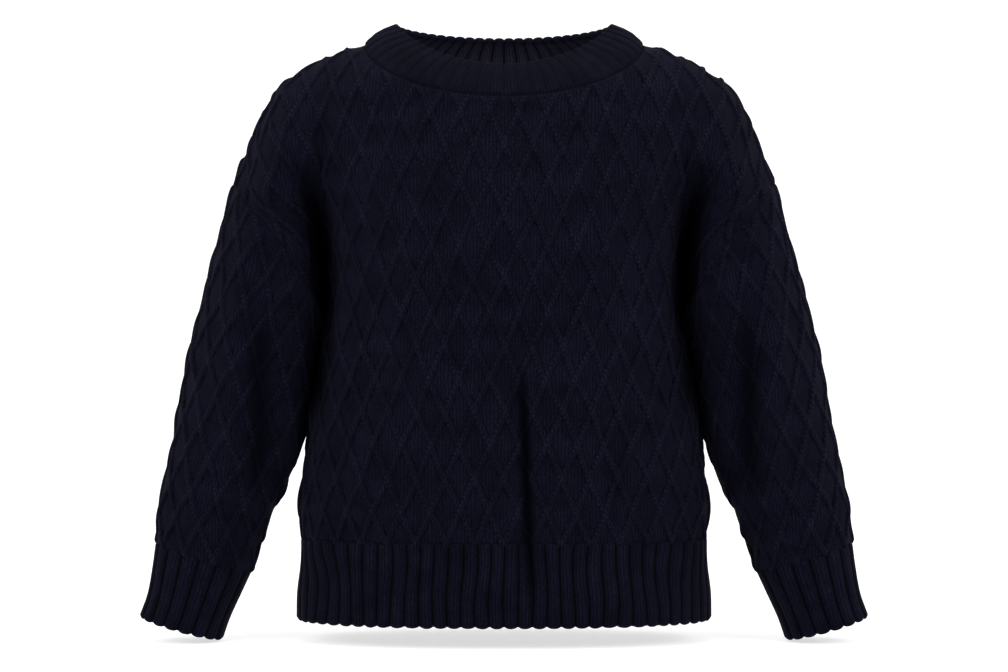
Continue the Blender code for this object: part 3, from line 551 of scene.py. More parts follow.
def yarn_group():
    """Navy yarn: paler at random, with a painted highlight where cables stand up, painted shade
    in gaps and folds, and painted light inside the neck.
    """
    group = bpy.data.node_groups.new("navy_yarn", "ShaderNodeTree")
    w = Wires(group)
    w.sockets("INPUT", "Float", Gap=None, Fuzz=None, Highlight=None)
    w.sockets("OUTPUT", "Color", Colour=None)
    w.sockets("OUTPUT", "Float", Specular=None, Sheen=None)
    start = w.node("NodeGroupInput")
    tone = w.noise(w.node("ShaderNodeTexCoord").outputs["Object"], 38.0, 5.0, 0.62, "3D")
    pale = w.sum("ADD", w.sum("MULTIPLY_ADD", tone, 1.5, -0.60),
                 w.sum("MULTIPLY_ADD", start.outputs["Fuzz"], 2.4, -1.02))
    # The painted highlight on cable crowns and crossings makes the yarn paler.
    pale = w.sum("ADD", pale, start.outputs["Highlight"])
    # The shade attribute: above 0 painted shade that darkens the yarn, below 0 painted light.
    painted_shade_and_light = w.read("shade")
    pale = w.sum("SUBTRACT", w.sum("MULTIPLY", pale, 0.75), painted_shade_and_light, clamp=True)
    colour = w.blend(pale, NAVY, NAVY_PALE)
    # Painted light: the inside of the neck turns a bright grey-blue.
    colour = w.blend(w.sum("MULTIPLY", painted_shade_and_light, -0.35, clamp=True), colour, NAVY_PAINTED_LIGHT)
    # Painted shade in the gaps of the knit, then in folds.
    colour = w.blend(start.outputs["Gap"], colour, NAVY_PAINTED_SHADE)
    colour = w.blend(painted_shade_and_light, colour, NAVY_PAINTED_SHADE)
    # Painted shade also lowers the gloss and the sheen in folds.
    lit = w.sum("SUBTRACT", 1.0, painted_shade_and_light, clamp=True)
    end = w.node("NodeGroupOutput")
    w.put(end.inputs["Colour"], colour)
    w.put(end.inputs["Specular"], w.sum("MULTIPLY", lit, 0.03))
    w.put(end.inputs["Sheen"], w.sum("MULTIPLY", lit, 0.012))
    return group


def wool(name, stitched=True, cabled=False, rib_pitch=0.0):
    """Navy wool: matt yarn with soft fuzz, in plain knit, cables or ribs, or as bare yarn."""
    made = bpy.data.materials.new(name)
    made.use_nodes = True
    tree = made.node_tree
    w = Wires(tree)
    shader = tree.nodes["Principled BSDF"]
    shader.inputs["Roughness"].default_value = 0.92
    shader.inputs["Sheen Roughness"].default_value = 0.45
    shader.inputs["Sheen Tint"].default_value = (0.55, 0.56, 0.75, 1.0)
    flat = w.node("ShaderNodeUVMap", uv_map="cloth").outputs["UV"]
    knit = w.node("ShaderNodeGroup", node_tree=STITCHES)
    w.put(knit.inputs["Flat"], flat)
    across, along = w.split(flat)
    fuzz = knit.outputs["Fuzz"]
    height = w.sum("MULTIPLY_ADD", fuzz, 0.35, knit.outputs["Height"])
    # Painted shade between stitches and columns, stronger in ribs; bare yarn only darkens at
    # random.
    if stitched:
        line = w.sum("MULTIPLY", knit.outputs["Column Line"], 0.95 if rib_pitch else 0.75)
        gap = w.sum("MAXIMUM", knit.outputs["Gap"], line)
    else:
        gap = w.sum("MULTIPLY", fuzz, 0.3)
    highlight = 0.0
    if cabled:
        strands = cable_strands(w, across, along, DIAMOND_WIDTH, DIAMOND_HEIGHT,
                                CABLE_HALF_WIDTH, CABLE_WEAVE)
        over = w.sum("GREATER_THAN", strands[0][0], strands[1][0])
        ropes = []
        for _, share, length, _ in strands:
            twist = w.sum("MULTIPLY_ADD", length, 1 / ROPE_PITCH, w.sum("MULTIPLY", share, 0.60))
            bump = w.sum("ABSOLUTE", w.sum("SINE", w.sum("MULTIPLY", twist, math.pi)))
            round_off = w.sum("SUBTRACT", 1.0, w.sum("POWER", share, 4.0))
            ropes.append(w.sum("MULTIPLY", bump, round_off))
        rope = w.sum("ADD", w.sum("MULTIPLY", ropes[0], over),
                     w.sum("MULTIPLY", ropes[1], w.sum("SUBTRACT", 1.0, over)))
        crown = w.sum("MAXIMUM", strands[0][0], strands[1][0])
        on_cable = w.sum("MULTIPLY", crown, 2.2, clamp=True)
        plain = w.sum("SUBTRACT", 1.0, on_cable)
        foot = w.sum("MINIMUM", strands[0][1], strands[1][1])
        foot = w.sum("MULTIPLY", w.sum("SUBTRACT", foot, 0.78), 5.0, clamp=True)
        beside = w.sum("MINIMUM", strands[0][3], strands[1][3])
        beside = w.sum("MULTIPLY", foot, w.sum("SUBTRACT", 1.0, beside, clamp=True))
        # Painted highlight where cables cross and, more faintly, along their crowns.
        crossing = w.sum("MULTIPLY", strands[0][0], strands[1][0])
        crossing = w.sum("MULTIPLY", crossing, 0.8, clamp=True)
        highlight = w.sum("MULTIPLY_ADD", crossing, 0.30, w.sum("MULTIPLY", on_cable, 0.12))
        height = w.sum("ADD", w.sum("MULTIPLY", height, w.sum("MULTIPLY_ADD", plain, 0.6, 0.4)),
                       w.sum("MULTIPLY", w.sum("MULTIPLY", rope, 1.6), on_cable))
        # Painted shade between the rope's twists and in the channels beside the cables.
        gap = w.sum("MULTIPLY", gap, w.sum("MULTIPLY_ADD", plain, 0.6, 0.4))
        gap = w.sum("ADD", gap, w.sum("MULTIPLY", w.sum("SUBTRACT", 1.0, rope),
                                      w.sum("MULTIPLY", on_cable, 0.50)), clamp=True)
        broken = w.sum("MULTIPLY", w.sum("SUBTRACT", w.noise(flat, 120.0, 2.0), 0.36), 3.6,
                       clamp=True)
        gap = w.sum("MAXIMUM", gap, w.sum("MULTIPLY", w.sum("MULTIPLY", beside, 0.95), broken))
    if rib_pitch:
        # Painted shade in the rib grooves, fainter where the relief is faded.
        place = w.sum("FRACT", w.sum("DIVIDE", across, rib_pitch))
        from_top = w.sum("ABSOLUTE", w.sum("SUBTRACT", place, 0.5))
        groove = w.sum("MULTIPLY", w.sum("SUBTRACT", from_top, 0.29), 6.0, clamp=True)
        groove = w.sum("MULTIPLY", groove, w.read("fade"))
        gap = w.sum("MAXIMUM", gap, w.sum("MULTIPLY", groove, 0.85))
    yarn = w.node("ShaderNodeGroup", node_tree=YARN)
    w.put(yarn.inputs["Gap"], gap)
    w.put(yarn.inputs["Fuzz"], fuzz)
    w.put(yarn.inputs["Highlight"], highlight)
    w.put(shader.inputs["Base Color"], yarn.outputs["Colour"])
    w.put(shader.inputs["Specular IOR Level"], yarn.outputs["Specular"])
    w.put(shader.inputs["Sheen Weight"], yarn.outputs["Sheen"])
    bump = w.node("ShaderNodeBump")
    bump.inputs["Strength"].default_value = 0.8
    bump.inputs["Distance"].default_value = 0.0009
    w.put(bump.inputs["Height"], height)
    w.put(shader.inputs["Normal"], bump.outputs["Normal"])
    return made


STITCHES = stitch_group()
YARN = yarn_group()
LATTICE_WOOL = wool("lattice_knit_wool", cabled=True)
CABLES = cable_relief_tree()
seams = {}                 # paths along which the pieces are linked, with their outward sides


def flat_area(flat):
    """Area of the flat pattern, from its cells."""
    u = flat[..., 0]
    v = flat[..., 1]
    first = (u[1:, 1:] - u[:-1, :-1]) * (v[1:, :-1] - v[:-1, 1:])
    second = (u[1:, :-1] - u[:-1, 1:]) * (v[1:, 1:] - v[:-1, :-1])
    return float(np.abs(first - second).sum() / 2)


def body_panel(piece):
    """One panel, its columns of stitches running up from the hem to the neckline or shoulder."""
    turns = np.linspace(-1, 1, PANEL_COLUMNS)
    low = np.full(PANEL_COLUMNS, -0.12)
    high = np.zeros(PANEL_COLUMNS)
    for _ in range(30):
        middle = (low + high) / 2
        above = middle > neckline_height(piece, body_reach(middle) * np.sin(turns * math.pi / 2))
        high = np.where(above, middle, high)
        low = np.where(above, low, middle)
    share = np.linspace(0, 1, 500)[:, None]
    dense = HEM_TOP + SEAM_GAP + (low - HEM_TOP - SEAM_GAP)[None, :] * share
    sine = np.sin(turns * math.pi / 2)[None, :]
    dense_along = body_lengths(body_reach(dense) * sine, dense)
    height = np.zeros((PANEL_ROWS, PANEL_COLUMNS))
    for column in range(PANEL_COLUMNS):
        run = np.maximum.accumulate(dense_along[:, column])
        target = np.linspace(run[0], run[-1], PANEL_ROWS)
        height[:, column] = np.interp(target, run, dense[:, column])
    points = body_points(piece, turns[None, :], height)
    normal = surface_normals(points)
    on_seam = np.abs(points[:, (0, -1), 1]) < 2 * SEAM_GAP
    for side, column in enumerate((0, -1)):
        normal[on_seam[:, side], column, 1] = 0

    level = np.concatenate([np.linspace(HEM_TOP + SEAM_GAP, UNDERARM - 0.001, 50),
                            np.linspace(UNDERARM + 0.002, 0.0, 90)])
    even = np.linspace(-1, 1, 241)
    grid = body_points(piece, even[None, :], level[:, None] + 0 * even[None, :])
    widths = widths_across(grid, body_lengths(grid[..., 0], grid[..., 2]))
    u = read_grid(widths, np.interp(height, level, np.arange(level.size)),
                  (turns[None, :] + 1) / 2 * 240 + 0 * height)
    v = body_lengths(points[..., 0], height)
    flat = np.stack([u, v], axis=-1)

    top = v[-1][None, :] - v
    side = np.minimum(u - u[:, :1], u[:, -1:] - u)
    edge = np.minimum(np.minimum(v, top), side)
    sink = np.maximum(0.0010 * dip(side, 0.0034), 0.0004 * dip(np.minimum(v, top), 0.0034))
    soft = SOFTNESS * waves(u, v, 3 if piece == "front" else 8, 0.07) * ease(0, 0.02, edge)
    outer = points + normal * (soft - sink)[..., None]
    inner = (points - normal * WALL)[::3, ::3]
    fade = np.minimum(ease(0.0, 0.0065, np.minimum(top, side)), ease(-0.006, 0.002, v))
    fade = fade * (1 + 0.22 * waves(u, v, 61, 0.05))
    # The panel carries painted shade of its folds and crevices.
    shell = knitted_shell(piece + "_panel_knit", outer, inner, flat + pull(u, v, 21, 22), fade,
                          shade=body_shade(piece, points[..., 0], points[..., 2]))
    run_tree(shell, CABLES, {"Wool": LATTICE_WOOL})
    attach(shell, "root")
    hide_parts(piece + "_panel")
    flat_area(flat)
    seams[piece + "_hem"] = (points[0], normal[0])
    seams[piece + "_neck"] = (points[-1], normal[-1])
    seams[piece + "_side"] = (points[:, -1], normal[:, -1])


for piece in ("front", "back"):
    body_panel(piece)

# ---------------------------------------------------------------------------------------------
# Ribbed hem, front and back. A deep rib with a wide flat rib and a narrow groove, linked to
# the panel above; its lower edge is cast off loosely, so each rib ends in a small scallop.

HEM_RIBS = 36
RIB_RISE = 0.0028
RIB_FLAT = 0.50
RIB_WALES = 4              # stitches across one rib and its groove
RIB_PITCH = RIB_WALES * WALE
RIB_SCALLOP = 0.0022
HEM_ROWS = 58


def rib_relief_tree():
    """Raises each rib to a flat top with rounded shoulders and leaves a narrow groove."""
    tree, w, start, attribute, finish = relief_tree("rib_relief", {
        "Rib Rise": RIB_RISE, "Rib Flat": RIB_FLAT})
    size = start.outputs
    off = w.sum("ABSOLUTE", w.sum("SUBTRACT", w.sum("FRACT", attribute("rib")), 0.5))
    share = w.sum("MULTIPLY", off, 2.0)
    fall = w.sum("DIVIDE", w.sum("SUBTRACT", share, size["Rib Flat"]),
                 w.sum("SUBTRACT", 1.0, size["Rib Flat"]), clamp=True)
    smooth = w.sum("SUBTRACT", 1.0, w.sum("POWER", fall, 1.6))
    crown = w.sum("MULTIPLY_ADD", w.sum("MULTIPLY", share, share), -0.16, 1.0)
    finish(w.sum("MULTIPLY", w.sum("MULTIPLY", smooth, crown), size["Rib Rise"]))
    return tree


def rounded_rows(length, count, round_low, round_high, radius):
    """Row places along a band, closer together towards an edge that is rounded over."""
    rows = np.linspace(0, length, count)
    bend = radius * (1 - np.cos(np.linspace(0, math.pi / 2, 6)))
    if round_low:
        rows = np.concatenate([bend, rows[rows > bend[-1] + 0.0004]])
    if round_high:
        rows = np.concatenate([rows[rows < length - bend[-1] - 0.0004], length - bend[::-1]])
    return rows


def trim_rows(rows, step):
    """Drop rows from the middle until the inner skin's rows fit between the outer ones."""
    while (len(rows) - 1) % step:
        rows = np.delete(rows, len(rows) // 2)
    return rows


RIB_WOOL = wool("rib_knit_wool", rib_pitch=RIB_PITCH)
RIBS = rib_relief_tree()


def hem(piece):
    columns = HEM_RIBS * 9 + 1
    turns = np.linspace(-1, 1, 721)
    rows = trim_rows(rounded_rows(HEM_TOP - HEM_BOTTOM, HEM_ROWS, True, False, WALL / 2), 3)
    height = HEM_BOTTOM + rows
    coarse = body_points(piece, turns[None, :], height[:, None] + 0 * turns[None, :])
    widths = widths_across(coarse, height[:, None] + 0 * turns[None, :])
    points = np.zeros((rows.size, columns, 3))
    u = np.zeros((rows.size, columns))
    for row in range(rows.size):
        u[row] = np.linspace(widths[row, 0], widths[row, -1], columns)
        points[row] = places_at(u[row], widths[row], coarse[row])
    normal = surface_normals(points)
    normal[:, (0, -1), 1] = 0
    rib = np.linspace(0, HEM_RIBS, columns)[None, :] + 0 * u
    v = rows[:, None] + 0 * u
    edge = np.minimum(u - u[:, :1], u[:, -1:] - u)
    sway = 0.16 * waves(u, v, 31 if piece == "front" else 37, 0.09)
    lean = 0.75 * np.exp(-((u + 0.200) / 0.045)**2) - 0.45 * np.exp(-((u - 0.205) / 0.040)**2)
    sway = (sway + lean * ease(0.030, 0.082, v)) * ease(0, 0.02, edge)
    sink = rounded(v, WALL / 2) + 0.0003 * dip(v.max() - v, 0.003) + 0.0006 * dip(edge, 0.003)
    outer = points - normal * sink[..., None]
    phase = rib + sway
    lobe = scallop(phase) * RIB_SCALLOP * ease(0.014, 0.0, v)
    outer[..., 2] -= lobe * (1 + 0.3 * waves(u, 0 * v, 43, 0.03))
    inner = (points - normal * WALL)[::3, ::3].copy()
    inner[0] = (outer[0] - normal[0] * (WALL / 2))[::3]
    fade = ease(-0.001, 0.003, v) * ease(-0.004, 0.002, v.max() - v)
    flat = np.stack([phase * RIB_PITCH, v], axis=-1)
    # The hem carries the panel's painted shade of folds.
    shell = knitted_shell(piece + "_hem_rib_knit", outer, inner, flat, fade, ribs=phase,
                          shade=body_shade(piece, points[..., 0], points[..., 2]))
    run_tree(shell, RIBS, {"Wool": RIB_WOOL})
    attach(shell, "root")
    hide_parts(piece + "_hem_rib")


for piece in ("front", "back"):
    hem(piece)

# ---------------------------------------------------------------------------------------------
# Sleeves. Each is one shaped piece in the same lattice, wide at the drop shoulder and narrowing
# to the cuff, closed by a seam under the arm. Its head is linked into the armhole.

SLEEVE_CLEARANCE = 0.0010
UNDERARM_CLEARANCE = 0.0012
SIDE_TOUCH = 0.0004        # from the body's side seam to the sleeve
SIDE_RELIEF = 0.0054       # and further off beside that seam, for the cables of both
SLEEVE_SHADE = 0.40        # how dark the painted shade is in a fold of SHADED_DEPTH
SHADED_DEPTH = 0.0060
SLEEVE_COLUMNS = 226
SLEEVE_STEPS = (30, 36, 36, 36, 81)
# Sections down the arm: middle across, middle fore-aft, height, half width, half depth, tilt.
SLEEVE_SECTIONS = (
    (0.2605, -0.0010, -0.3250, 0.0625, 0.0600, 13.0),
    (0.2685, -0.0020, -0.3800, 0.0645, 0.0580, 13.0),
    (0.2810, -0.0040, -0.4350, 0.0615, 0.0540, 14.5),
    (0.2975, -0.0070, -0.4850, 0.0565, 0.0500, 16.5),
    (0.3075, -0.0100, -0.5270, 0.0505, 0.0440, 17.0),
)
# Folds: turn round the arm in degrees (0 outside, 90 front, 180 inside), distance down from
# the sleeve's head, length, width in degrees, twist in degrees per metre, depth.
SLEEVE_FOLDS = (
    (180.0, -0.005, 0.108, 28.0, 0.0, -0.0064),
    (78.0, 0.060, 0.150, 15.0, 190.0, -0.0065),
    (112.0, 0.070, 0.140, 13.0, 160.0, 0.0060),
    (138.0, 0.150, 0.070, 18.0, -900.0, 0.0034),
    (145.0, 0.210, 0.060, 20.0, -1100.0, 0.0026),
    (150.0, 0.280, 0.060, 22.0, 1000.0, 0.0022),
    (60.0, 0.300, 0.080, 20.0, 500.0, 0.0024),
    (250.0, 0.070, 0.150, 18.0, -160.0, 0.0046),
    (215.0, 0.170, 0.080, 22.0, 850.0, 0.0040),
    (290.0, 0.280, 0.090, 20.0, -450.0, 0.0026),
)


def section_ring(section, turns):
    """A tilted oval ring round the left arm: 0 outside, a quarter turn at the front."""
    x, y, z, half_width, half_depth, tilt = section
    angle = math.radians(tilt)
    across = half_width * np.cos(turns)
    return np.stack([x + across * math.cos(angle), y - half_depth * np.sin(turns),
                     z + across * math.sin(angle)], axis=1)


def armhole_ring(turns):
    """The armhole seam as a ring: down the front to the underarm and up the back."""
    level = np.linspace(SLEEVE_POINT, UNDERARM, 400)
    across = curve_at(ARMHOLE, 1, level)
    result = np.zeros((turns.size, 3))
    for piece, sign, chosen in (("front", -1, turns >= 0), ("back", 1, turns < 0)):
        depth = np.maximum(body_depth(piece, across, level), 0)
        line = np.stack([across, sign * depth, level], axis=1)
        line[0, 1] = line[-1, 1] = 0
        gone = lengths_along(line)
        result[chosen] = places_at(np.abs(turns[chosen]) / math.pi, gone / gone[-1], line)
    return result


def rows_through(rings, steps):
    """Rows of points through the rings, smooth along each line, from the bottom up."""
    rings = np.array(rings)
    step = np.linalg.norm(np.diff(rings, axis=0), axis=2)
    keys = np.concatenate([np.zeros((1, rings.shape[1])), np.cumsum(step, axis=0)], axis=0)
    slopes = np.zeros_like(rings)
    for k in range(len(rings)):
        before = max(k - 1, 0)
        after = min(k + 1, len(rings) - 1)
        slopes[k] = (rings[after] - rings[before]) / (keys[after] - keys[before])[:, None]
    rows = []
    for k, count in enumerate(steps):
        span = (keys[k + 1] - keys[k])[:, None]
        for t in np.arange(count) / count:
            rows.append(rings[k] * (2 * t**3 - 3 * t**2 + 1) + rings[k + 1] * (3 * t**2 - 2 * t**3)
                        + slopes[k] * span * (t**3 - 2 * t**2 + t)
                        + slopes[k + 1] * span * (t**3 - t**2))
    rows.append(rings[-1])
    return np.array(rows)


def column_lengths(points):
    step = np.linalg.norm(np.diff(points, axis=0), axis=2)
    return np.concatenate([np.zeros((1, points.shape[1])), np.cumsum(step, axis=0)], axis=0)


def clear_of_torso(points):
    """Keep the left sleeve's inner side out of the torso: close along the side seam, where both
    are flat, and two cables' height further off beside it."""
    fore, level = np.abs(points[..., 1]), points[..., 2]
    half = curve_at(BODY_SECTIONS, 1, level)
    depth = np.where(points[..., 1] < 0, curve_at(BODY_SECTIONS, 2, level),
                     curve_at(BODY_SECTIONS, 3, level))
    power = curve_at(BODY_SECTIONS, 4, level)
    edge = half * oval(fore / depth, power)
    wanted = edge + SIDE_TOUCH + SIDE_RELIEF * ease(0.0, 0.008, fore)
    push = np.maximum(wanted - points[..., 0], 0) * ease(UNDERARM + 0.001, UNDERARM - 0.006, level)
    return points + push[..., None] * np.array([1.0, 0.0, 0.0])


def sleeve(side, name):
    turns = np.linspace(math.pi, -math.pi, SLEEVE_COLUMNS)
    rings = [section_ring(section, turns) for section in SLEEVE_SECTIONS[::-1]]
    inward = ease(0.35, 0.95, np.abs(turns) / math.pi)
    away = np.stack([UNDERARM_CLEARANCE * inward, 0 * inward, 0 * inward - SLEEVE_CLEARANCE], 1)
    rings.append(armhole_ring(turns) + away)
    points = rows_through(rings, SLEEVE_STEPS)
    along = column_lengths(points)
    normal = surface_normals(points, True)
    degrees = np.degrees(turns) % 360
    down = along[-1][None, :] - along
    press = np.zeros(points.shape[:2])
    shade = np.zeros(points.shape[:2])
    for middle, start, length, width, twist, depth in SLEEVE_FOLDS:
        past = down - start - length / 2
        off = (degrees[None, :] - middle - twist * past + 180) % 360 - 180
        fold = np.exp(-(off / width)**2) * np.exp(-(past / (length / 2))**4)
        press += depth * fold
        # Painted shade in the folds that press inward.
        if depth > 0:
            shade = np.maximum(shade, SLEEVE_SHADE * (depth / SHADED_DEPTH)**2 * fold)
    # Painted shade on the sleeve's inner side near its head, beside the torso.
    inside = np.exp(-((degrees[None, :] - 178) / 20)**2) * ease(0.125, 0.085, down)
    shade = np.maximum(shade, inside)
    press *= ease(0.0, 0.03, down) * ease(0.0, 0.03, along)
    points = clear_of_torso(points - normal * press[..., None])
    if side < 0:
        points = points[:, ::-1] * np.array([-1.0, 1.0, 1.0])
        shade = shade[:, ::-1]
    normal = surface_normals(points, True)
    v = column_lengths(points)
    u = widths_across(points, v)
    flat = np.stack([u, v], axis=-1)
    ends = np.minimum(v, v[-1][None, :] - v)
    seam = np.minimum(u - u[:, :1], u[:, -1:] - u)
    sink = 0.0004 * dip(ends, 0.0034) + 0.0008 * dip(seam, 0.0030)
    soft = SOFTNESS * waves(u, v, 5 + side, 0.06) * ease(0, 0.02, np.minimum(ends, seam))
    outer = points + normal * (soft - sink)[..., None]
    inner = (points - normal * WALL)[::3, ::3]
    fade = ease(-0.001, 0.0055, np.minimum(v[-1][None, :] - v, seam)) * ease(-0.006, 0.002, v)
    fade = fade * (1 + 0.22 * waves(u, v, 65 + side, 0.05))
    pulled = flat + pull(u, v, 25 + side, 28 + side) * fade[..., None]
    shell = knitted_shell(name + "_sleeve_knit", outer, inner, pulled, fade, closed=True,
                          shade=shade)
    run_tree(shell, CABLES, {"Wool": LATTICE_WOOL})
    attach(shell, "root")
    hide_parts(name + "_sleeve")
    flat_area(flat)
    seams[name + "_armhole"] = (points[-1], normal[-1])
    seams[name + "_wrist"] = (points[0], normal[0])


sleeve(1, "left")
sleeve(-1, "right")

# ---------------------------------------------------------------------------------------------
# Cuffs. The same rib as the hem, knitted round the wrist and linked to the sleeve's lower
# edge, a little narrower at the hand.

CUFF_RIBS = 16
CUFF_ROWS = 60
# Sections from the sleeve down: middle across, fore-aft, height, half width, half depth, tilt.
CUFF_SECTIONS = (
    (0.3077, -0.0101, -0.5276, 0.0487, 0.0425, 17.0),
    (0.3147, -0.0120, -0.5520, 0.0448, 0.0385, 17.0),
    (0.3224, -0.0140, -0.5770, 0.0415, 0.0345, 16.5),
    (0.3305, -0.0155, -0.6000, 0.0415, 0.0325, 16.0),
)


def cuff(side, name):
    columns = CUFF_RIBS * 12 + 1
    turns = np.linspace(math.pi, -math.pi, 721)
    rings = [section_ring(section, turns) for section in CUFF_SECTIONS[::-1]]
    coarse = rows_through(rings, (24, 24, 24))
    if side < 0:
        coarse = coarse[:, ::-1] * np.array([-1.0, 1.0, 1.0])
    lengths = column_lengths(coarse)
    mean = float(lengths[-1].mean())
    share = np.arange(len(coarse)) / (len(coarse) - 1)
    rows = trim_rows(rounded_rows(mean, CUFF_ROWS, True, False, WALL / 2), 3)
    points = np.zeros((rows.size, columns, 3))
    u = np.zeros((rows.size, columns))
    for row, place in enumerate(rows / mean):
        line = np.array([places_at(place, share, coarse[:, c]) for c in range(turns.size)])
        gone = lengths_along(line)
        u[row] = np.linspace(0, gone[-1], columns) - gone[-1] / 2
        points[row] = places_at(u[row] + gone[-1] / 2, gone, line)
    normal = surface_normals(points, True)
    rib = np.linspace(0, CUFF_RIBS, columns)[None, :] + 0 * u
    v = rows[:, None] + 0 * u
    sink = rounded(v, WALL / 2) + 0.0003 * dip(v.max() - v, 0.003)
    outer = points - normal * sink[..., None]
    lobe = scallop(rib) * RIB_SCALLOP * ease(0.012, 0.0, v)
    down = points[0] - points[6]
    down = down / np.linalg.norm(down, axis=1, keepdims=True)
    outer = outer + down[None] * lobe[..., None]
    inner = (points - normal * WALL)[::3, ::3].copy()
    inner[0] = (outer[0] - normal[0] * (WALL / 2))[::3]
    fade = ease(-0.001, 0.003, v) * ease(-0.004, 0.002, v.max() - v)
    flat = np.stack([rib * RIB_PITCH, v], axis=-1)
    shell = knitted_shell(name + "_cuff_knit", outer, inner, flat, fade, closed=True, ribs=rib)
    run_tree(shell, RIBS, {"Wool": RIB_WOOL})
    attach(shell, "root")
    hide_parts(name + "_cuff")


cuff(1, "left")
cuff(-1, "right")

# ---------------------------------------------------------------------------------------------
# Neckband. A single rib knitted round and linked to the neckline, standing up round the neck,
# ribbed inside as outside, higher at the sides and back than at the front.

NECK_RIBS = 56
NECK_ROWS = 40
RIM_HALF_WIDTH = 0.1085
RIM_HALF_DEPTH = 0.0640
RIM_TOP = 0.0180
RIM_DIP = {"front": 0.0460, "back": 0.0060}
BAND_WALL = 0.0034
BAND_BOW = 0.0030
BAND_SCALLOP = 0.0014
# BAND_SHADE is an even painted shade over the band's outside.
BAND_SHADE = 0.09
BAND_INSIDE_LIGHT = 2.1          # how strongly painted light brightens the inside of the neck
NECK_CLEARANCE = 0.0013


def neckband():
    columns = NECK_RIBS * 9 + 1
    turns = np.linspace(-math.pi, math.pi, 1441)
    front = np.cos(turns) > 0
    across = NECK_HALF_WIDTH * np.sin(turns)
    height = np.where(front, neckline_height("front", across), neckline_height("back", across))
    depth = np.where(front, -body_depth("front", across, height),
                     body_depth("back", across, height))
    base = np.stack([across, depth, height], axis=1)
    fore = np.abs(np.cos(turns))
    lower = np.where(front, RIM_DIP["front"], RIM_DIP["back"])
    rim = np.stack([RIM_HALF_WIDTH * np.sin(turns),
                    np.where(front, -1, 1) * RIM_HALF_DEPTH * fore,
                    RIM_TOP - lower * fore**1.5], axis=1)
    lift = (rim - base) / np.linalg.norm(rim - base, axis=1, keepdims=True)
    start = base + lift * NECK_CLEARANCE
    share = trim_rows(rounded_rows(1.0, NECK_ROWS, False, True, 0.045), 1)
    share = share / share[-1]
    coarse = start[None] + (rim - start)[None] * share[:, None, None]
    bow = np.sin(np.pi * share)**0.8 * 0.85 * BAND_BOW
    coarse = coarse + surface_normals(coarse, True) * bow[:, None, None]
    points = np.zeros((share.size, columns, 3))
    for row in range(share.size):
        gone = lengths_along(coarse[row])
        points[row] = places_at(np.linspace(0, gone[-1], columns), gone, coarse[row])
    points[:, -1] = points[:, 0]
    normal = surface_normals(points, True)
    v = column_lengths(points)
    rib = np.linspace(0, NECK_RIBS, columns)[None, :] + 0 * v
    left = v[-1][None, :] - v
    sink = rounded(left, BAND_WALL / 2)
    outer = points - normal * (sink + 0.0006 * dip(v, 0.004))[..., None]
    inner = points - normal * (BAND_WALL - sink)[..., None]
    fade = ease(-0.001, 0.004, v) * ease(-0.0005, 0.003, left)
    facing = np.clip(-points[..., 1] / RIM_HALF_DEPTH, 0, 1)
    lobe = scallop(rib) * BAND_SCALLOP * ease(0.010, 0.0, left)
    outer[..., 2] += lobe
    inner[..., 2] += lobe
    flat = np.stack([rib * RIB_PITCH, v], axis=-1)
    # The band's outside carries an even painted shade and its inside painted light.
    shell = knitted_shell("neckband_knit", outer, inner, flat, (0.62 - 0.26 * facing) * fade, 1,
                          closed=True, ribs=rib, shade=np.full(v.shape, BAND_SHADE),
                          inner_fade=0.8 * fade, inside_light=BAND_INSIDE_LIGHT * ease(0.0, 0.010, left))
    run_tree(shell, RIBS, {"Wool": RIB_WOOL})
    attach(shell, "root")
    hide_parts("neckband")
    widths = np.linalg.norm(np.diff(points, axis=1), axis=2).sum(1)


neckband()

# ---------------------------------------------------------------------------------------------
# Linking stitches. The pieces are joined loop by loop on a linking machine, in the same yarn;
# each seam shows as a fine chain of small slanting stitches sunk in the join.

LINK_PITCH = 0.0023
LINK_LENGTH = 0.0014
LINK_WIDTH = 0.00055
LINK_LIFT = -0.0006        # the chain is sunk this far below the join


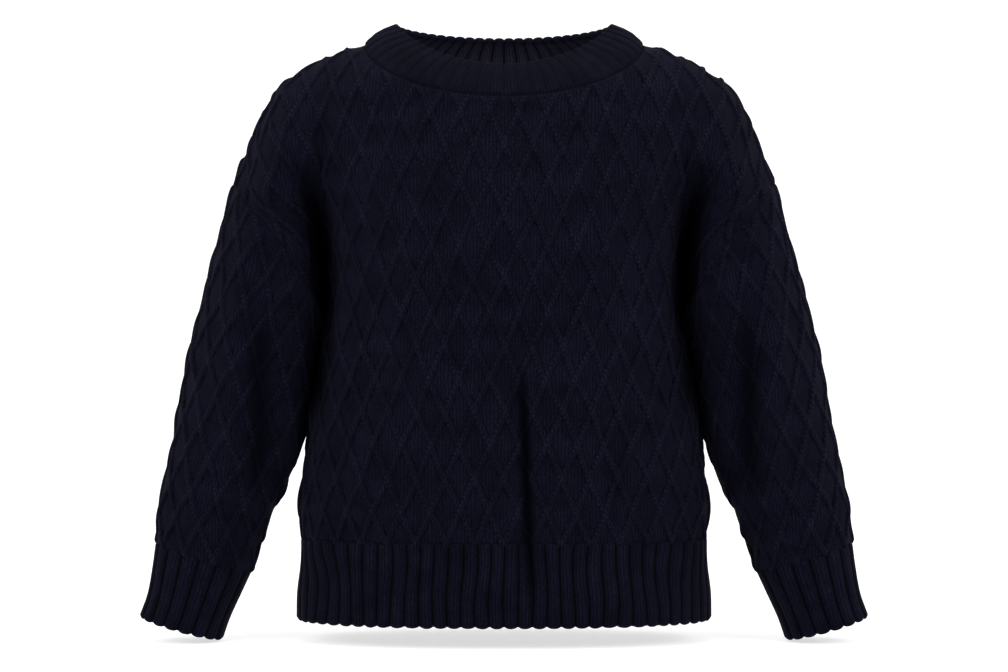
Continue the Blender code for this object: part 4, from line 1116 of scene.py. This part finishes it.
def linking_tree():
    """Sets a pair of slanting stitches at each pitch along a seam, flat against the cloth."""
    tree = bpy.data.node_groups.new("linking_stitches", "GeometryNodeTree")
    w = Wires(tree)
    w.sockets("INPUT", "Geometry", Geometry=None)
    w.sockets("INPUT", "Float", Pitch=LINK_PITCH, Length=LINK_LENGTH, Width=LINK_WIDTH)
    w.sockets("INPUT", "Material", Wool=None)
    w.sockets("OUTPUT", "Geometry", Geometry=None)
    start = w.node("NodeGroupInput")
    line = w.node("GeometryNodeMeshToCurve")
    w.put(line.inputs["Mesh"], start.outputs["Geometry"])
    even = w.node("GeometryNodeResampleCurve", mode="LENGTH")
    w.put(even.inputs["Curve"], line.outputs["Curve"])
    w.put(even.inputs["Length"], start.outputs["Pitch"])
    side = w.node("GeometryNodeInputNamedAttribute", data_type="FLOAT_VECTOR")
    side.inputs["Name"].default_value = "outward"
    up = w.node("FunctionNodeAlignEulerToVector", axis="Z")
    w.put(up.inputs["Vector"], side.outputs["Attribute"])
    turned = w.node("FunctionNodeAlignEulerToVector", axis="Y", pivot_axis="Z")
    w.put(turned.inputs["Rotation"], up.outputs["Rotation"])
    w.put(turned.inputs["Vector"], w.node("GeometryNodeInputTangent").outputs["Tangent"])
    joined = w.node("GeometryNodeJoinGeometry")
    for slant in (-1, 1):
        bead = w.node("GeometryNodeMeshIcoSphere")
        bead.inputs["Radius"].default_value = 1.0
        bead.inputs["Subdivisions"].default_value = 1
        shape = w.node("ShaderNodeCombineXYZ")
        w.put(shape.inputs["X"], start.outputs["Width"])
        w.put(shape.inputs["Y"], start.outputs["Length"])
        w.put(shape.inputs["Z"], start.outputs["Width"])
        place = w.node("ShaderNodeCombineXYZ")
        w.put(place.inputs["X"], w.sum("MULTIPLY", start.outputs["Width"], 0.9 * slant))
        leg = w.node("GeometryNodeTransform")
        w.put(leg.inputs["Geometry"], bead.outputs["Mesh"])
        w.put(leg.inputs["Scale"], shape.outputs[0])
        w.put(leg.inputs["Translation"], place.outputs[0])
        leg.inputs["Rotation"].default_value = (0.0, 0.0, -0.45 * slant)
        w.put(joined.inputs["Geometry"], leg.outputs["Geometry"])
    spread = w.node("GeometryNodeInstanceOnPoints")
    w.put(spread.inputs["Points"], even.outputs["Curve"])
    w.put(spread.inputs["Instance"], joined.outputs["Geometry"])
    w.put(spread.inputs["Rotation"], turned.outputs["Rotation"])
    w.deliver(spread.outputs["Instances"], start.outputs["Wool"])
    return tree


LINKING = linking_tree()
LINK_WOOL = wool("linking_yarn_wool", stitched=False)


def link_seam(name, points, outward, lift):
    """A chain of linking stitches along one seam."""
    mesh = bpy.data.meshes.new(name)
    path = points + outward * lift
    mesh.from_pydata(path.tolist(), [(k, k + 1) for k in range(len(path) - 1)], [])
    layer = mesh.attributes.new("outward", "FLOAT_VECTOR", "POINT")
    layer.data.foreach_set("vector", outward.astype(np.float32).ravel())
    piece = bpy.data.objects.new(name, mesh)
    bpy.context.scene.collection.objects.link(piece)
    run_tree(piece, LINKING, {"Wool": LINK_WOOL})
    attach(piece, "root")


for name, (points, outward) in seams.items():
    link_seam(name + "_linking", points, outward, LINK_LIFT)

# ---------------------------------------------------------------------------------------------
# Studio. A plain white floor and wall, soft light from both sides and above, and the camera
# level with the middle of the sweater, as in the photograph.

CAMERA_DISTANCE = 2.6
VIEW_WIDTH = 1.038
VIEW_HEIGHT = -0.3018
FLOOR = -0.6140


def lamp(name, place, target, size, power):
    data = bpy.data.lights.new(name, "AREA")
    data.shape = "RECTANGLE"
    data.size, data.size_y = size
    data.energy = power
    thing = bpy.data.objects.new(name, data)
    bpy.context.scene.collection.objects.link(thing)
    thing.location = place
    way = np.array(target) - np.array(place)
    thing.rotation_euler = (math.atan2(math.hypot(way[0], way[1]), -way[2]), 0,
                            math.atan2(way[1], way[0]) - math.pi / 2)


backdrop = bpy.data.materials.new("studio_white")
backdrop.use_nodes = True
paper = backdrop.node_tree.nodes["Principled BSDF"]
paper.inputs["Base Color"].default_value = (0.50, 0.50, 0.50, 1.0)
paper.inputs["Roughness"].default_value = 0.9
paper.inputs["Emission Color"].default_value = (1.0, 1.0, 1.0, 1.0)
paper.inputs["Emission Strength"].default_value = 0.62
profile = [(-6.0, FLOOR), (3.0, FLOOR), (3.6, FLOOR + 0.06), (4.1, FLOOR + 0.30),
           (4.3, FLOOR + 0.9), (4.3, 5.0)]
floor = bpy.data.meshes.new("floor")
floor.from_pydata([(x, y, z) for y, z in profile for x in (-8.0, 8.0)], [],
                  [(2 * k, 2 * k + 1, 2 * k + 3, 2 * k + 2) for k in range(len(profile) - 1)])
floor.shade_smooth()
floor.materials.append(backdrop)
stage = bpy.data.objects.new("floor", floor)
bpy.context.scene.collection.objects.link(stage)

lamp("left_softbox", (-2.4, -2.2, 1.5), (0, 0, -0.25), (1.6, 1.6), 60)
lamp("right_softbox", (2.4, -2.2, 1.5), (0, 0, -0.25), (1.6, 1.6), 60)
lamp("top_softbox", (0, -0.2, 2.2), (0, 0, -0.2), (2.2, 1.4), 40)

world = bpy.data.worlds.new("studio_air")
world.use_nodes = True
world.node_tree.nodes["Background"].inputs["Color"].default_value = (1.0, 1.0, 1.0, 1.0)
world.node_tree.nodes["Background"].inputs["Strength"].default_value = 0.9
bpy.context.scene.world = world
bpy.context.scene.view_settings.view_transform = "Standard"

view = bpy.data.cameras.new("camera")
view.sensor_width = 36.0
view.lens = view.sensor_width * CAMERA_DISTANCE / VIEW_WIDTH
camera = bpy.data.objects.new("camera", view)
camera.location = (0.0, -CAMERA_DISTANCE, VIEW_HEIGHT)
camera.rotation_euler = (math.pi / 2, 0, 0)
bpy.context.scene.collection.objects.link(camera)
bpy.context.scene.camera = camera
